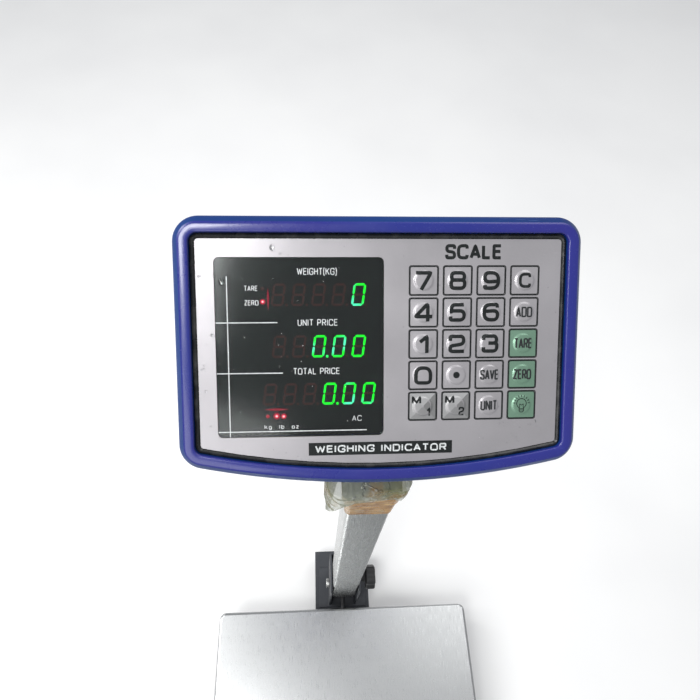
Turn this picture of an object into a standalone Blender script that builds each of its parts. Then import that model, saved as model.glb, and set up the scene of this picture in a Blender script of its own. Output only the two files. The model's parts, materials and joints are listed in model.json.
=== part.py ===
"""Portable platform scale with a price-computing indicator head on a folding column.

Run with: blender --background --python part.py
Every size below is in millimetres, +X to the operator's right, +Y away from the operator, +Z up.
The operator stands at -Y, in front of the platform, and the column stands behind it.
"""

import math

import bmesh
import bpy
from mathutils import Matrix, Vector

MM = 0.001
GAP = 0.3

# Platform
DECK_WIDTH = 400
DECK_LENGTH = 500
DECK_TOP = 100
DECK_SHEET = 1.2
DECK_SKIRT = 40
DECK_CORNER = 10
FRAME_INSET = 14
FRAME_LOW = 25
FRAME_HIGH = 50
FRAME_RAIL = 38
FRAME_BEAM = 80
FRAME_SHEET = 2
TONGUE_HALF_WIDTH = 46
UPPER_FRAME_INSET = 30
UPPER_FRAME_LOW = 81
UPPER_FRAME_HIGH = 95
UPPER_FRAME_RAIL = 34
UPPER_FRAME_BEAM = 60
FRAME_CORNER = 8
FOOT_INSET = 40
PAD_INSET = 48
CELL_SEAT = 42
CELL_LENGTH = 150
CELL_WIDTH = 40
CELL_HEIGHT = 25
CELL_LOW = 53

# Column
TUBE_SIDE = 38
TUBE_WALL = 1.5
TUBE_CORNER = 4
FOLD_HEIGHT = 125
TUBE_LOW = 107
BRACKET_TOP = 205
BRACKET_SHEET = 3
EAR_CLEARANCE = 0.8
LOCK_HEIGHT = 180
CABLE_DIAMETER = 5
BOLT_RADIUS = 4
BOLT_HEAD_RADIUS = 7

# Indicator head, measured from the middle of its front panel
PANEL_HEIGHT_ABOVE_FLOOR = 790
PANEL_BEHIND_COLUMN = 47
FACE_ELEVATION = 53
PANEL_HALF_WIDTH = 115.9
PANEL_TOP = 66
PANEL_BOTTOM_CORNER = -66
PANEL_BOTTOM_SAG = 12.2
PANEL_CORNER = 2
PANEL_SHEET = 2
BEZEL_LIP = 3.6
BEZEL_LEDGE = 4
BEZEL_OVERHANG = 14.5
BEZEL_DEPTH = 22
HEAD_DEPTH = 58
SHELL_WALL = 2.5
UNDERSIDE_DROP = 82
HOUSING_PROFILE = (
    (BEZEL_OVERHANG, BEZEL_DEPTH + GAP),
    (14, 34),
    (12, 45),
    (7.7, 53),
    (2, 57.2),
    (-1, HEAD_DEPTH),
)

# Neck between the column and the head
TUBE_TOP = PANEL_HEIGHT_ABOVE_FLOOR - 125
TILT_DROP = 104
TILT_HEIGHT = PANEL_HEIGHT_ABOVE_FLOOR - TILT_DROP
TILT_BEHIND_COLUMN = 7
EAR_RADIUS = 11
EAR_INNER = 19
EAR_SHEET = 3

# Front panel furniture, in the panel's own frame
WINDOW_LEFT = -104.8
WINDOW_RIGHT = 1.5
WINDOW_TOP = 54.7
WINDOW_BOTTOM = -59.8
WINDOW_CORNER = 3.2
KEY_LEFT = 26.98
KEY_TOP = 39.95
KEY_PITCH_X = 21.83
KEY_PITCH_Y = 20.27
KEY_OPENING = 18.6
KEY_NAMES = (
    ("key_7", "key_8", "key_9", "key_clear"),
    ("key_4", "key_5", "key_6", "key_add"),
    ("key_1", "key_2", "key_3", "key_tare"),
    ("key_0", "key_point", "key_save", "key_zero"),
    ("key_memory_1", "key_memory_2", "key_unit", "key_light"),
)
GREEN_KEYS = ("key_tare", "key_zero", "key_light")
DIGIT_PITCH = 12.7
DISPLAY_CENTRE = -39.8
DISPLAY_HEIGHT = 19
DISPLAY_ROWS = (
    ("weight_display", 31.3, 5),
    ("unit_price_display", -1.6, 5),
    ("total_price_display", -32.4, 6),
)

# Rear of the head, in the panel's own frame
KEYPAD_BOARD_SIZE = (92, 108)
MAIN_BOARD_SIZE = (222, 110)
MAIN_BOARD_LOW = -13.6
BATTERY_CENTRE = (-52, 2)
BATTERY_SIZE = (66, 97)
DOOR_SIZE = (72, 102)
SWITCH_CENTRE = (48, -34)
SWITCH_OPENING = (13.6, 19.6)
INLET_CENTRE = (82, -34)
INLET_OPENING = (27, 20)

# Where the parts stand, so that the object's box is centred on the origin
FACE_SINE = math.sin(math.radians(FACE_ELEVATION))
FACE_COSINE = math.cos(math.radians(FACE_ELEVATION))
DECK_TO_COLUMN = 35
HEAD_REACH = PANEL_BEHIND_COLUMN + max(
    (PANEL_TOP + offset) * FACE_SINE + depth * FACE_COSINE for offset, depth in HOUSING_PROFILE
)
COLUMN_Y = (DECK_TO_COLUMN + DECK_LENGTH - HEAD_REACH) / 2
DECK_REAR = COLUMN_Y - DECK_TO_COLUMN
DECK_MIDDLE = DECK_REAR - DECK_LENGTH / 2
FRAME_REAR = DECK_REAR - FRAME_INSET
TONGUE_REAR = COLUMN_Y + 64
LEVEL_Y = COLUMN_Y + 49
TILT_Y = COLUMN_Y + TILT_BEHIND_COLUMN

MATERIALS = {
    "blue_plastic": ((0.016, 0.035, 0.30), 0.32, 0.0),
    "silver_panel": ((0.48, 0.46, 0.47), 0.38, 0.0),
    "green_key": ((0.26, 0.50, 0.34), 0.40, 0.0),
    "smoked_window": ((0.012, 0.016, 0.016), 0.12, 0.0),
    "black_rubber": ((0.012, 0.012, 0.012), 0.55, 0.0),
    "circuit_board": ((0.02, 0.16, 0.07), 0.45, 0.0),
    "display_black": ((0.02, 0.02, 0.02), 0.45, 0.0),
    "battery_grey": ((0.09, 0.10, 0.11), 0.5, 0.0),
    "stainless": ((0.60, 0.61, 0.60), 0.26, 1.0),
    "painted_frame": ((0.030, 0.034, 0.042), 0.48, 0.0),
    "zinc_steel": ((0.62, 0.63, 0.62), 0.35, 1.0),
    "cell_aluminium": ((0.70, 0.71, 0.72), 0.34, 1.0),
    "packing_tape": ((0.52, 0.30, 0.07), 0.35, 0.0),
    "clear_film": ((0.62, 0.66, 0.62), 0.22, 0.0),
    "level_glass": ((0.45, 0.62, 0.12), 0.08, 0.0),
    "red_plastic": ((0.50, 0.02, 0.015), 0.30, 0.0),
    "cable_grey": ((0.10, 0.10, 0.105), 0.55, 0.0),
}


# Outlines -----------------------------------------------------------------


def arc(centre_x, centre_y, radius, start, end, steps):
    """Points on an arc from start to end degrees, both included."""
    angles = [math.radians(start + (end - start) * i / steps) for i in range(steps + 1)]
    return [(centre_x + radius * math.cos(a), centre_y + radius * math.sin(a)) for a in angles]


def circle(centre_x, centre_y, radius, sides):
    return arc(centre_x, centre_y, radius, 0, 360, sides)[:-1]


def rounded_rectangle(width, height, radius, steps=2, centre=(0, 0)):
    """Anticlockwise outline of a rectangle with round corners."""
    x, y = width / 2 - radius, height / 2 - radius
    cx, cy = centre
    return (
        arc(cx + x, cy + y, radius, 0, 90, steps)
        + arc(cx - x, cy + y, radius, 90, 180, steps)
        + arc(cx - x, cy - y, radius, 180, 270, steps)
        + arc(cx + x, cy - y, radius, 270, 360, steps)
    )


def head_outline(offset):
    """The front panel's outline grown by offset: straight top and sides, and a bottom that sags."""
    steps, smallest_radius = 4, 0.8
    sag_radius = (PANEL_HALF_WIDTH**2 + PANEL_BOTTOM_SAG**2) / (2 * PANEL_BOTTOM_SAG)
    sag_centre = PANEL_BOTTOM_CORNER - PANEL_BOTTOM_SAG + sag_radius
    radius = max(PANEL_CORNER + offset, smallest_radius)
    x = PANEL_HALF_WIDTH + offset - radius
    top = PANEL_TOP + offset - radius
    bottom = sag_centre - math.sqrt((sag_radius + offset - radius) ** 2 - x**2)
    lean = math.degrees(math.atan2(x, sag_centre - bottom))
    sag = arc(0, sag_centre, sag_radius + offset, 270 - lean, 270 + lean, 10)
    return (
        arc(x, top, radius, 0, 90, steps)
        + arc(-x, top, radius, 90, 180, steps)
        + arc(-x, bottom, radius, 180, 270 - lean, steps)
        + sag[1:-1]
        + arc(x, bottom, radius, 270 + lean, 360, steps)
    )


def star(lobes, inner, outer, sides):
    """Outline of a hand knob, whose radius swings between inner and outer once a lobe."""
    middle, swing = (inner + outer) / 2, (outer - inner) / 2
    angles = [math.tau * i / sides for i in range(sides)]
    radii = [middle + swing * math.cos(lobes * a) for a in angles]
    return [(r * math.cos(a), r * math.sin(a)) for r, a in zip(radii, angles)]


# Solids, as bmesh in millimetres ------------------------------------------


def plate(outline, low, high, holes=()):
    """Flat plate over an XY outline, with holes right through."""
    bm = bmesh.new()
    edges = []
    for loop in (outline, *holes):
        verts = [bm.verts.new((x, y, low)) for x, y in loop]
        edges += [bm.edges.new(pair) for pair in zip(verts, verts[1:] + verts[:1])]
    bmesh.ops.triangle_fill(bm, edges=edges, use_beauty=True)
    grown = bmesh.ops.extrude_face_region(bm, geom=bm.faces[:])["geom"]
    top = [item for item in grown if isinstance(item, bmesh.types.BMVert)]
    bmesh.ops.translate(bm, verts=top, vec=(0, 0, high - low))
    bmesh.ops.recalc_face_normals(bm, faces=bm.faces[:])
    return bm


def box(low, high):
    """Box between two corners."""
    outline = [(low[0], low[1]), (high[0], low[1]), (high[0], high[1]), (low[0], high[1])]
    return plate(outline, low[2], high[2])


def loft(loops, ring=False):
    """Solid through matching loops of points. A ring's last loop joins its first; others are capped."""
    bm = bmesh.new()
    rows = [[bm.verts.new(point) for point in loop] for loop in loops]
    pairs = list(zip(rows, rows[1:] + rows[:1])) if ring else list(zip(rows, rows[1:]))
    for lower, upper in pairs:
        for i in range(len(lower)):
            j = (i + 1) % len(lower)
            bm.faces.new((lower[i], lower[j], upper[j], upper[i]))
    if not ring:
        bm.faces.new(rows[0])
        bm.faces.new(rows[-1])
    bmesh.ops.recalc_face_normals(bm, faces=bm.faces[:])
    return bm


def swept_ring(profile, outline):
    """Closed ring: each profile point (offset, z) is the outline grown by offset, at that height."""
    return loft([[(x, y, z) for x, y in outline(offset)] for offset, z in profile], ring=True)


def turned(profile, sides=20):
    """Solid of revolution about Z. The profile (radius, z) starts and ends on the axis."""
    bm = bmesh.new()
    verts = [bm.verts.new((radius, 0, z)) for radius, z in profile]
    edges = [bm.edges.new(pair) for pair in zip(verts, verts[1:])]
    bmesh.ops.spin(bm, geom=verts + edges, axis=(0, 0, 1), angle=math.tau, steps=sides, use_merge=True)
    bmesh.ops.remove_doubles(bm, verts=bm.verts[:], dist=0.001)
    bmesh.ops.recalc_face_normals(bm, faces=bm.faces[:])
    return bm


def rod(radius, start, end, sides=16):
    """Plain cylinder along Z."""
    return plate(circle(0, 0, radius, sides), start, end)


def along_x(bm, x=0, y=0, z=0):
    """Turns a solid made along Z to lie along X, its own X pointing down, and moves it."""
    bm.transform(Matrix.Translation((x, y, z)) @ Matrix.Rotation(math.radians(90), 4, "Y"))
    return bm


def upright(bm, x=0, y=0, z=0):
    """Turns a plate drawn in XY to stand in the YZ plane: its X runs along Y and its Y along Z."""
    turn = Matrix(((0, 0, 1), (1, 0, 0), (0, 1, 0))).to_4x4()
    bm.transform(Matrix.Translation((x, y, z)) @ turn)
    return bm


def moved(bm, x=0, y=0, z=0):
    bm.transform(Matrix.Translation((x, y, z)))
    return bm


# Objects ------------------------------------------------------------------


def clear_scene():
    for obj in list(bpy.data.objects):
        bpy.data.objects.remove(obj, do_unlink=True)


def make_materials():
    for name, (colour, roughness, metallic) in MATERIALS.items():
        material = bpy.data.materials.new(name)
        material.use_nodes = True
        shader = material.node_tree.nodes["Principled BSDF"]
        shader.inputs["Base Color"].default_value = (*colour, 1)
        shader.inputs["Roughness"].default_value = roughness
        shader.inputs["Metallic"].default_value = metallic
        material.diffuse_color = (*colour, 1)


def empty(name, location, parent=None, tilt=0):
    """An empty at location, in its parent's frame, turned by tilt degrees about X."""
    obj = bpy.data.objects.new(name, None)
    bpy.context.scene.collection.objects.link(obj)
    obj.location = Vector(location) * MM
    obj.rotation_euler = (math.radians(tilt), 0, 0)
    obj.parent = parent
    return obj


def part(name, bm, material, location=(0, 0, 0), parent=None):
    """A named object from a bmesh in millimetres, which is freed. Location is in the parent's frame."""
    bm.transform(Matrix.Scale(MM, 4))
    mesh = bpy.data.meshes.new(name)
    bm.to_mesh(mesh)
    bm.free()
    mesh.shade_smooth()
    mesh.set_sharp_from_angle(angle=math.radians(35))
    if material:
        mesh.materials.append(bpy.data.materials[material])
    obj = bpy.data.objects.new(name, mesh)
    bpy.context.scene.collection.objects.link(obj)
    obj.location = Vector(location) * MM
    obj.parent = parent
    return obj


def shaped(obj, operation, bms):
    """Adds one exact Boolean for each bmesh, placed in the object's own frame, and hides the helpers."""
    for number, bm in enumerate(bms):
        name = f"{obj.name}_{operation.lower()}_{number}"
        helper = part(name, bm, None, obj.location / MM, obj.parent)
        helper.hide_render = True
        helper.display_type = "WIRE"
        modifier = obj.modifiers.new(name, "BOOLEAN")
        modifier.operation = operation
        modifier.object = helper
    return obj


# Platform -----------------------------------------------------------------


def pressed_frame(name, outline, holes, low, high, inset_outline, grown_holes):
    """A frame pressed from sheet: a flat top with its edges, inner and outer, turned down."""
    frame = part(name, plate(outline, low, high, holes), "painted_frame")
    hollow = plate(inset_outline, low - 5, high - FRAME_SHEET, grown_holes)
    return shaped(frame, "DIFFERENCE", [hollow])


def frame_outline(inset):
    """Lower frame with the tongue behind it that carries the column."""
    half_width = DECK_WIDTH / 2 - FRAME_INSET - inset
    front = DECK_REAR - DECK_LENGTH + FRAME_INSET + inset
    rear = FRAME_REAR - inset
    tongue = TONGUE_HALF_WIDTH - inset
    return [
        (-half_width, front),
        (half_width, front),
        (half_width, rear),
        (tongue, rear),
        (tongue, TONGUE_REAR - inset),
        (-tongue, TONGUE_REAR - inset),
        (-tongue, rear),
        (-half_width, rear),
    ]


def frame_window(x, width, length, grow):
    corner = FRAME_CORNER + grow
    return rounded_rectangle(width, length, corner, 2, (x, DECK_MIDDLE))


def frame_windows(grow):
    """The two openings of the lower frame, left and right of its centre beam."""
    inner = FRAME_BEAM / 2 - grow
    outer = DECK_WIDTH / 2 - FRAME_INSET - FRAME_RAIL + grow
    length = DECK_LENGTH - 2 * (FRAME_INSET + FRAME_RAIL) + 2 * grow
    return [
        frame_window(side * (outer + inner) / 2, outer - inner, length, grow) for side in (-1, 1)
    ]


def foot_places():
    x = DECK_WIDTH / 2 - FOOT_INSET
    near, far = DECK_REAR - DECK_LENGTH + FOOT_INSET, DECK_REAR - FOOT_INSET
    return {
        "foot_front_left": (-x, near),
        "foot_front_right": (x, near),
        "foot_rear_left": (-x, far),
        "foot_rear_right": (x, far),
    }


def lower_frame():
    frame = pressed_frame(
        "lower_frame",
        frame_outline(0),
        frame_windows(0),
        FRAME_LOW,
        FRAME_HIGH,
        frame_outline(FRAME_SHEET),
        frame_windows(FRAME_SHEET),
    )
    stud_hole = circle(0, 0, 5 + GAP, 12)
    nuts = [
        moved(plate(circle(0, 0, 9, 12), FRAME_LOW + 5, FRAME_HIGH - 1, [stud_hole]), x, y)
        for x, y in foot_places().values()
    ]
    cell_end = DECK_MIDDLE + CELL_LENGTH / 2
    seat_low = (-CELL_WIDTH / 2, cell_end - CELL_SEAT, FRAME_HIGH - 1)
    seat_high = (CELL_WIDTH / 2, cell_end, CELL_LOW - GAP)
    shaped(frame, "UNION", [*nuts, box(seat_low, seat_high)])


def feet():
    """Levelling feet: a rubber pad moulded on a threaded stud, with its lock nut."""
    stud, nut, stud_top = 5, 8.2, FRAME_HIGH - 4
    pad = [(0, 0), (19, 0), (20, 2), (19, 9), (14, 12), (stud, 13)]
    lock_nut = [(stud, 18), (nut, 18), (nut, 23), (stud, 23)]
    profile = [*pad, *lock_nut, (stud, stud_top), (0, stud_top)]
    for name, (x, y) in foot_places().items():
        part(name, turned(profile, 16), "black_rubber", (x, y, 0))


def load_cell():
    """Single-point load cell: a bar with two joined bores that thin it over the strain gauges."""
    bore, spread, slot = 8.5, 16, 4
    bend = math.degrees(math.asin(slot / 2 / bore))
    right = arc(spread, 0, bore, -180 + bend, 180 - bend, 14)
    left = arc(-spread, 0, bore, bend, 360 - bend, 14)
    outline = rounded_rectangle(CELL_LENGTH, CELL_HEIGHT, 0.8, 1)
    bar = upright(plate(outline, -CELL_WIDTH / 2, CELL_WIDTH / 2, [right + left]))
    part("load_cell", bar, "cell_aluminium", (0, DECK_MIDDLE, CELL_LOW + CELL_HEIGHT / 2))


def upper_frame():
    """The frame that carries the pan, bolted on the load cell's free end."""
    width = DECK_WIDTH - 2 * UPPER_FRAME_INSET
    length = DECK_LENGTH - 2 * UPPER_FRAME_INSET
    corner = 10

    def outline(inset):
        size = (width - 2 * inset, length - 2 * inset)
        return rounded_rectangle(*size, corner - inset, 2, (0, DECK_MIDDLE))

    def windows(grow):
        opening = (width - 2 * UPPER_FRAME_RAIL - UPPER_FRAME_BEAM) / 2 + 2 * grow
        reach = length - 2 * UPPER_FRAME_RAIL + 2 * grow
        centre = (width / 2 - UPPER_FRAME_RAIL + UPPER_FRAME_BEAM / 2) / 2
        return [frame_window(side * centre, opening, reach, grow) for side in (-1, 1)]

    frame = pressed_frame(
        "upper_frame",
        outline(0),
        windows(0),
        UPPER_FRAME_LOW,
        UPPER_FRAME_HIGH,
        outline(FRAME_SHEET),
        windows(FRAME_SHEET),
    )
    cell_end = DECK_MIDDLE - CELL_LENGTH / 2
    seat_low = (-CELL_WIDTH / 2, cell_end, CELL_LOW + CELL_HEIGHT + GAP)
    seat_high = (CELL_WIDTH / 2, cell_end + CELL_SEAT, UPPER_FRAME_HIGH - 1)
    shaped(frame, "UNION", [box(seat_low, seat_high)])


def deck_pads():
    """Rubber pads between the upper frame and the pan."""
    x, y = DECK_WIDTH / 2 - PAD_INSET, DECK_LENGTH / 2 - PAD_INSET
    low, high = UPPER_FRAME_HIGH + GAP, DECK_TOP - DECK_SHEET - GAP
    radius = 9
    for row, py in (("front", -y), ("rear", y)):
        for side, px in (("left", -x), ("right", x)):
            pad = rod(radius, low, high, 14)
            part(f"deck_pad_{row}_{side}", pad, "black_rubber", (px, DECK_MIDDLE + py, 0))


def deck_pan():
    """The lift-off pan, folded down on all four sides."""
    bend = 4

    def skin(sheet):
        """One side of the sheet, from the skirt's lower edge to where the flat top begins."""
        half_way = sheet + (bend - sheet) * 0.3
        side = [(sheet, DECK_TOP - DECK_SKIRT), (sheet, DECK_TOP - bend)]
        fold = [(half_way, DECK_TOP - half_way), (bend, DECK_TOP - sheet)]
        loops = []
        for inset, z in side + fold:
            size = (DECK_WIDTH - 2 * inset, DECK_LENGTH - 2 * inset)
            loops.append([(x, y, z) for x, y in rounded_rectangle(*size, DECK_CORNER - inset, 3)])
        return loops

    part("deck_pan", loft(skin(DECK_SHEET)[::-1] + skin(0)), "stainless", (0, DECK_MIDDLE, 0))


def bubble_level():
    """Round spirit level on the tongue behind the column."""
    bore, floor, rim = 8.2, 2.5, 10
    well = [(0, 0), (11, 0), (11, 3), (9.5, rim), (bore, rim), (bore, floor), (0, floor)]
    side, foot = bore - GAP, floor + GAP
    vial = [(0, foot), (side, foot), (side, rim - 0.8), (5, rim + 0.2), (0, rim + 0.6)]
    part("level_housing", turned(well, 18), "black_rubber", (0, LEVEL_Y, FRAME_HIGH + GAP))
    part("level_vial", turned(vial, 18), "level_glass", (0, LEVEL_Y, FRAME_HIGH + GAP))


# Column -------------------------------------------------------------------


def column_bracket():
    """Folded bracket that the column hinges in: a base plate, a web behind and an ear on each side."""
    inner = TUBE_SIDE / 2 + EAR_CLEARANCE
    front, web, corner = -24, 29, 16
    base_half_width, base_border = 40, 4
    low, high = FRAME_HIGH + GAP, BRACKET_TOP
    reach = web + BRACKET_SHEET
    ear = [(front, low), (reach, low), (reach, high)]
    ear += arc(front + corner, high - corner, corner, 90, 180, 4)
    bolt_holes = [circle(0, z, BOLT_RADIUS + GAP, 14) for z in (FOLD_HEIGHT, LOCK_HEIGHT)]
    right_ear = upright(plate(ear, inner, inner + BRACKET_SHEET, bolt_holes))
    left_ear = upright(plate(ear, -inner - BRACKET_SHEET, -inner, bolt_holes[:1]))
    base = box(
        (-base_half_width, front - base_border, low),
        (base_half_width, reach + base_border, low + BRACKET_SHEET),
    )
    back = box((-inner - BRACKET_SHEET, web, low), (inner + BRACKET_SHEET, reach, high))
    bracket = part("column_bracket", base, "painted_frame", (0, COLUMN_Y, 0))
    shaped(bracket, "UNION", [right_ear, left_ear, back])


def bolt(reach, head_height):
    """Through bolt along X with a head at each end, reach away from its middle."""
    end = reach + head_height
    half = [(BOLT_RADIUS, reach), (BOLT_HEAD_RADIUS, reach), (BOLT_HEAD_RADIUS, end), (0, end)]
    other_half = [(radius, -z) for radius, z in half[::-1]]
    return along_x(turned(other_half + half, 12))


def hand_knob():
    """Five-lobed clamp knob on its screw, which bears on the tube through the bracket's right ear."""
    tip, collar, back, face = TUBE_SIDE / 2 + GAP, 26, 31, 46
    lobes, hollow, crest, hub_radius = 5, 14.5, 18.5, 8
    edges = [(1.6, back), (0, back + 1.6), (0, face - 2.4), (0.7, face - 0.7), (2.4, face)]
    loops = [[(x, y, z) for x, y in star(lobes, hollow - cut, crest - cut, 40)] for cut, z in edges]
    knob = loft(loops)
    screw = rod(BOLT_RADIUS, tip, back + 2, 14)
    hub = rod(hub_radius, collar, back + 2, 14)
    obj = part("lock_knob", along_x(knob), "black_rubber", (0, COLUMN_Y, LOCK_HEIGHT))
    shaped(obj, "UNION", [along_x(hub), along_x(screw)])


def column_tube(pivot):
    """Square steel tube, drawn from its fold bolt upwards."""
    outer = rounded_rectangle(TUBE_SIDE, TUBE_SIDE, TUBE_CORNER, 3)
    bore_side = TUBE_SIDE - 2 * TUBE_WALL
    inner = rounded_rectangle(bore_side, bore_side, TUBE_CORNER - TUBE_WALL, 3)
    tube = plate(outer, TUBE_LOW - FOLD_HEIGHT, TUBE_TOP - FOLD_HEIGHT, [inner])
    drill = along_x(rod(BOLT_RADIUS + GAP, -TUBE_SIDE, TUBE_SIDE))
    obj = part("column_tube", tube, "stainless", (0, 0, 0), pivot)
    shaped(obj, "DIFFERENCE", [drill])


def tilt_bracket(column_pivot):
    """Bracket plugged in the tube's top, with an ear each side of the head's lug, and the bolt."""
    plug_side = TUBE_SIDE - 2 * TUBE_WALL - 2 * GAP
    plug_depth = 25
    half_depth, corner = 17.5, 2
    low, high = TUBE_TOP + GAP, TUBE_TOP + GAP + EAR_SHEET
    outer = EAR_INNER + EAR_SHEET
    ear = [(-half_depth, low), (half_depth, low), (half_depth, high + 2)]
    ear += arc(TILT_BEHIND_COLUMN, TILT_HEIGHT, EAR_RADIUS, 0, 180, 8)
    bolt_hole = circle(TILT_BEHIND_COLUMN, TILT_HEIGHT, BOLT_RADIUS + GAP, 14)
    right_ear = upright(plate(ear, EAR_INNER, outer, [bolt_hole]))
    left_ear = upright(plate(ear, -outer, -EAR_INNER, [bolt_hole]))
    cable_hole = circle(0, 0, 6, 14)
    cap = plate(rounded_rectangle(2 * outer, 2 * half_depth, corner, 1), low, high, [cable_hole])
    plug_outline = rounded_rectangle(plug_side, plug_side, corner, 1)
    plug = plate(plug_outline, TUBE_TOP - plug_depth, low + 1, [cable_hole])
    bracket = part("tilt_bracket", cap, "zinc_steel", (0, 0, -FOLD_HEIGHT), column_pivot)
    shaped(bracket, "UNION", [right_ear, left_ear, plug])

    bolt_place = (0, TILT_BEHIND_COLUMN, TILT_HEIGHT - FOLD_HEIGHT)
    part("tilt_bolt", bolt(outer + GAP, 2.8), "zinc_steel", bolt_place, column_pivot)


def joint_wrap(column_pivot):
    """Brown tape and crumpled film wound round the joint: thin bands that flare out over the bolt."""

    def around_tube(offset):
        side = TUBE_SIDE + 2 * offset
        return rounded_rectangle(side, side, TUBE_CORNER + offset, 2)

    low, waist, flare, top = TUBE_TOP - 35, TUBE_TOP - 15, TUBE_TOP - 2, TUBE_TOP + 14
    outside = [(1.4, low), (1.8, waist), (5.2, flare), (7.8, top)]
    inside = [(6.8, top + 1), (4.2, flare + 1), (0.7, waist + 1), (GAP, low)]
    tape = swept_ring(outside + inside, around_tube)
    part("tape_band", tape, "packing_tape", (0, 0, -FOLD_HEIGHT), column_pivot)

    low, shoulder, top = TUBE_TOP + 15.5, TUBE_TOP + 22, TUBE_TOP + 28
    outside = [(8.2, low), (8.8, shoulder), (7.4, top)]
    inside = [(6.4, top), (7.5, shoulder), (6.8, low + 0.5)]
    film = swept_ring(outside + inside, around_tube)
    part("film_wrap", film, "clear_film", (0, 0, -FOLD_HEIGHT), column_pivot)


# Indicator head -----------------------------------------------------------


def rear_housing_solid(wall):
    """The rear shell's outer solid, or with a wall the hollow inside it, cut flat over the neck."""
    profile = [(offset - wall, depth - wall) for offset, depth in HOUSING_PROFILE]
    if wall:
        profile[0] = (profile[0][0], BEZEL_DEPTH - 5)
    bm = loft([[(x, y, -depth) for x, y in head_outline(offset)] for offset, depth in profile])
    turn = Matrix.Rotation(math.radians(90 - FACE_ELEVATION), 3, "X")
    down = turn.inverted() @ Vector((0, 0, -1))
    bmesh.ops.bisect_plane(
        bm,
        geom=bm.verts[:] + bm.edges[:] + bm.faces[:],
        plane_co=down * (UNDERSIDE_DROP - wall),
        plane_no=down,
        clear_outer=True,
    )
    bmesh.ops.holes_fill(bm, edges=[e for e in bm.edges if e.is_boundary])
    bmesh.ops.recalc_face_normals(bm, faces=bm.faces[:])
    return bm


def rectangle_at(centre, size, radius=1.5):
    return rounded_rectangle(size[0], size[1], radius, 2, centre)


def front_bezel(panel):
    """The blue ring round the panel: a soft front, a sloping side and the ledge the panel rests on."""
    rest = -PANEL_SHEET - GAP
    wall = BEZEL_OVERHANG - SHELL_WALL
    front = [(BEZEL_LIP, rest), (BEZEL_LIP, 1.2), (4.3, 2.6), (6.2, 3.3), (8.2, 3.1), (9.6, 2.3)]
    side = [(BEZEL_OVERHANG - 0.4, -2.6), (BEZEL_OVERHANG, -5), (BEZEL_OVERHANG, -BEZEL_DEPTH)]
    back = [(wall, -BEZEL_DEPTH), (wall, -8), (9.5, -5), (-BEZEL_LEDGE, -5), (-BEZEL_LEDGE, rest)]
    bezel = swept_ring(front + side + back, head_outline)
    part("front_bezel", bezel, "blue_plastic", (0, 0, 0), panel)


def rear_housing(panel):
    """The rear shell, with its door, vents, switch and inlet openings, and pillars for the board."""
    shell = part("rear_housing", rear_housing_solid(0), "blue_plastic", (0, 0, 0), panel)
    through = (-HEAD_DEPTH - 2, -HEAD_DEPTH + SHELL_WALL + 3)
    openings = [
        plate(rectangle_at(BATTERY_CENTRE, DOOR_SIZE), *through),
        plate(rectangle_at(SWITCH_CENTRE, SWITCH_OPENING), *through),
        plate(rectangle_at(INLET_CENTRE, INLET_OPENING), *through),
    ]
    vent_x, vent_low, vent_pitch = 66, 18, 7
    vents = [
        plate(rectangle_at((vent_x, vent_low + vent_pitch * i), (46, 3), 1.4), *through)
        for i in range(5)
    ]
    shaped(shell, "DIFFERENCE", [rear_housing_solid(SHELL_WALL), *openings, *vents])
    pillar_radius, pillar_x, pillar_rows = 3.5, 104, (-46, 52)
    pillar_reach = (-HEAD_DEPTH + 1.5, MAIN_BOARD_LOW - 0.6)
    pillars = [
        moved(rod(pillar_radius, *pillar_reach, 10), side * pillar_x, y)
        for side in (-1, 1)
        for y in pillar_rows
    ]
    shaped(shell, "UNION", pillars)


def battery_cover(panel):
    """Door over the battery, flush with the back of the head, with three grip ribs."""
    size = (DOOR_SIZE[0] - 2 * GAP, DOOR_SIZE[1] - 2 * GAP)
    plain = plate(rectangle_at(BATTERY_CENTRE, size), -HEAD_DEPTH, -HEAD_DEPTH + SHELL_WALL)
    door = part("battery_cover", plain, "blue_plastic", (0, 0, 0), panel)
    x, y = BATTERY_CENTRE
    rib_low, rib_pitch = 34, 5
    ribs = [
        plate(
            rectangle_at((x, y + rib_low + rib_pitch * i), (30, 2), 0.8),
            -HEAD_DEPTH - 1,
            -HEAD_DEPTH + 1,
        )
        for i in range(3)
    ]
    shaped(door, "UNION", ribs)


def front_panel(panel):
    """Silver panel with the display opening and one square opening for each key."""
    holes = [rectangle_at(place, (KEY_OPENING, KEY_OPENING)) for place in key_places().values()]
    middle = ((WINDOW_LEFT + WINDOW_RIGHT) / 2, (WINDOW_TOP + WINDOW_BOTTOM) / 2)
    width, height = WINDOW_RIGHT - WINDOW_LEFT, WINDOW_TOP - WINDOW_BOTTOM
    holes.append(rounded_rectangle(width, height, WINDOW_CORNER, 3, middle))
    sheet = plate(head_outline(0), -PANEL_SHEET, 0, holes)
    part("front_panel", sheet, "silver_panel", (0, 0, 0), panel)
    pane_size = (width - 2 * GAP, height - 2 * GAP)
    pane = plate(rounded_rectangle(*pane_size, WINDOW_CORNER - GAP, 3, middle), -PANEL_SHEET, 0)
    part("display_window", pane, "smoked_window", (0, 0, 0), panel)


def panel_gasket(panel):
    """Black rubber seal in the groove between the panel and the bezel."""
    outer = BEZEL_LIP - GAP
    profile = [(GAP, -PANEL_SHEET), (GAP, -0.4), (1.6, 0.5), (outer, -0.2), (outer, -PANEL_SHEET)]
    part("panel_gasket", swept_ring(profile, head_outline), "black_rubber", (0, 0, 0), panel)


def key_places():
    return {
        name: (KEY_LEFT + column * KEY_PITCH_X, KEY_TOP - row * KEY_PITCH_Y)
        for row, names in enumerate(KEY_NAMES)
        for column, name in enumerate(names)
    }


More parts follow.
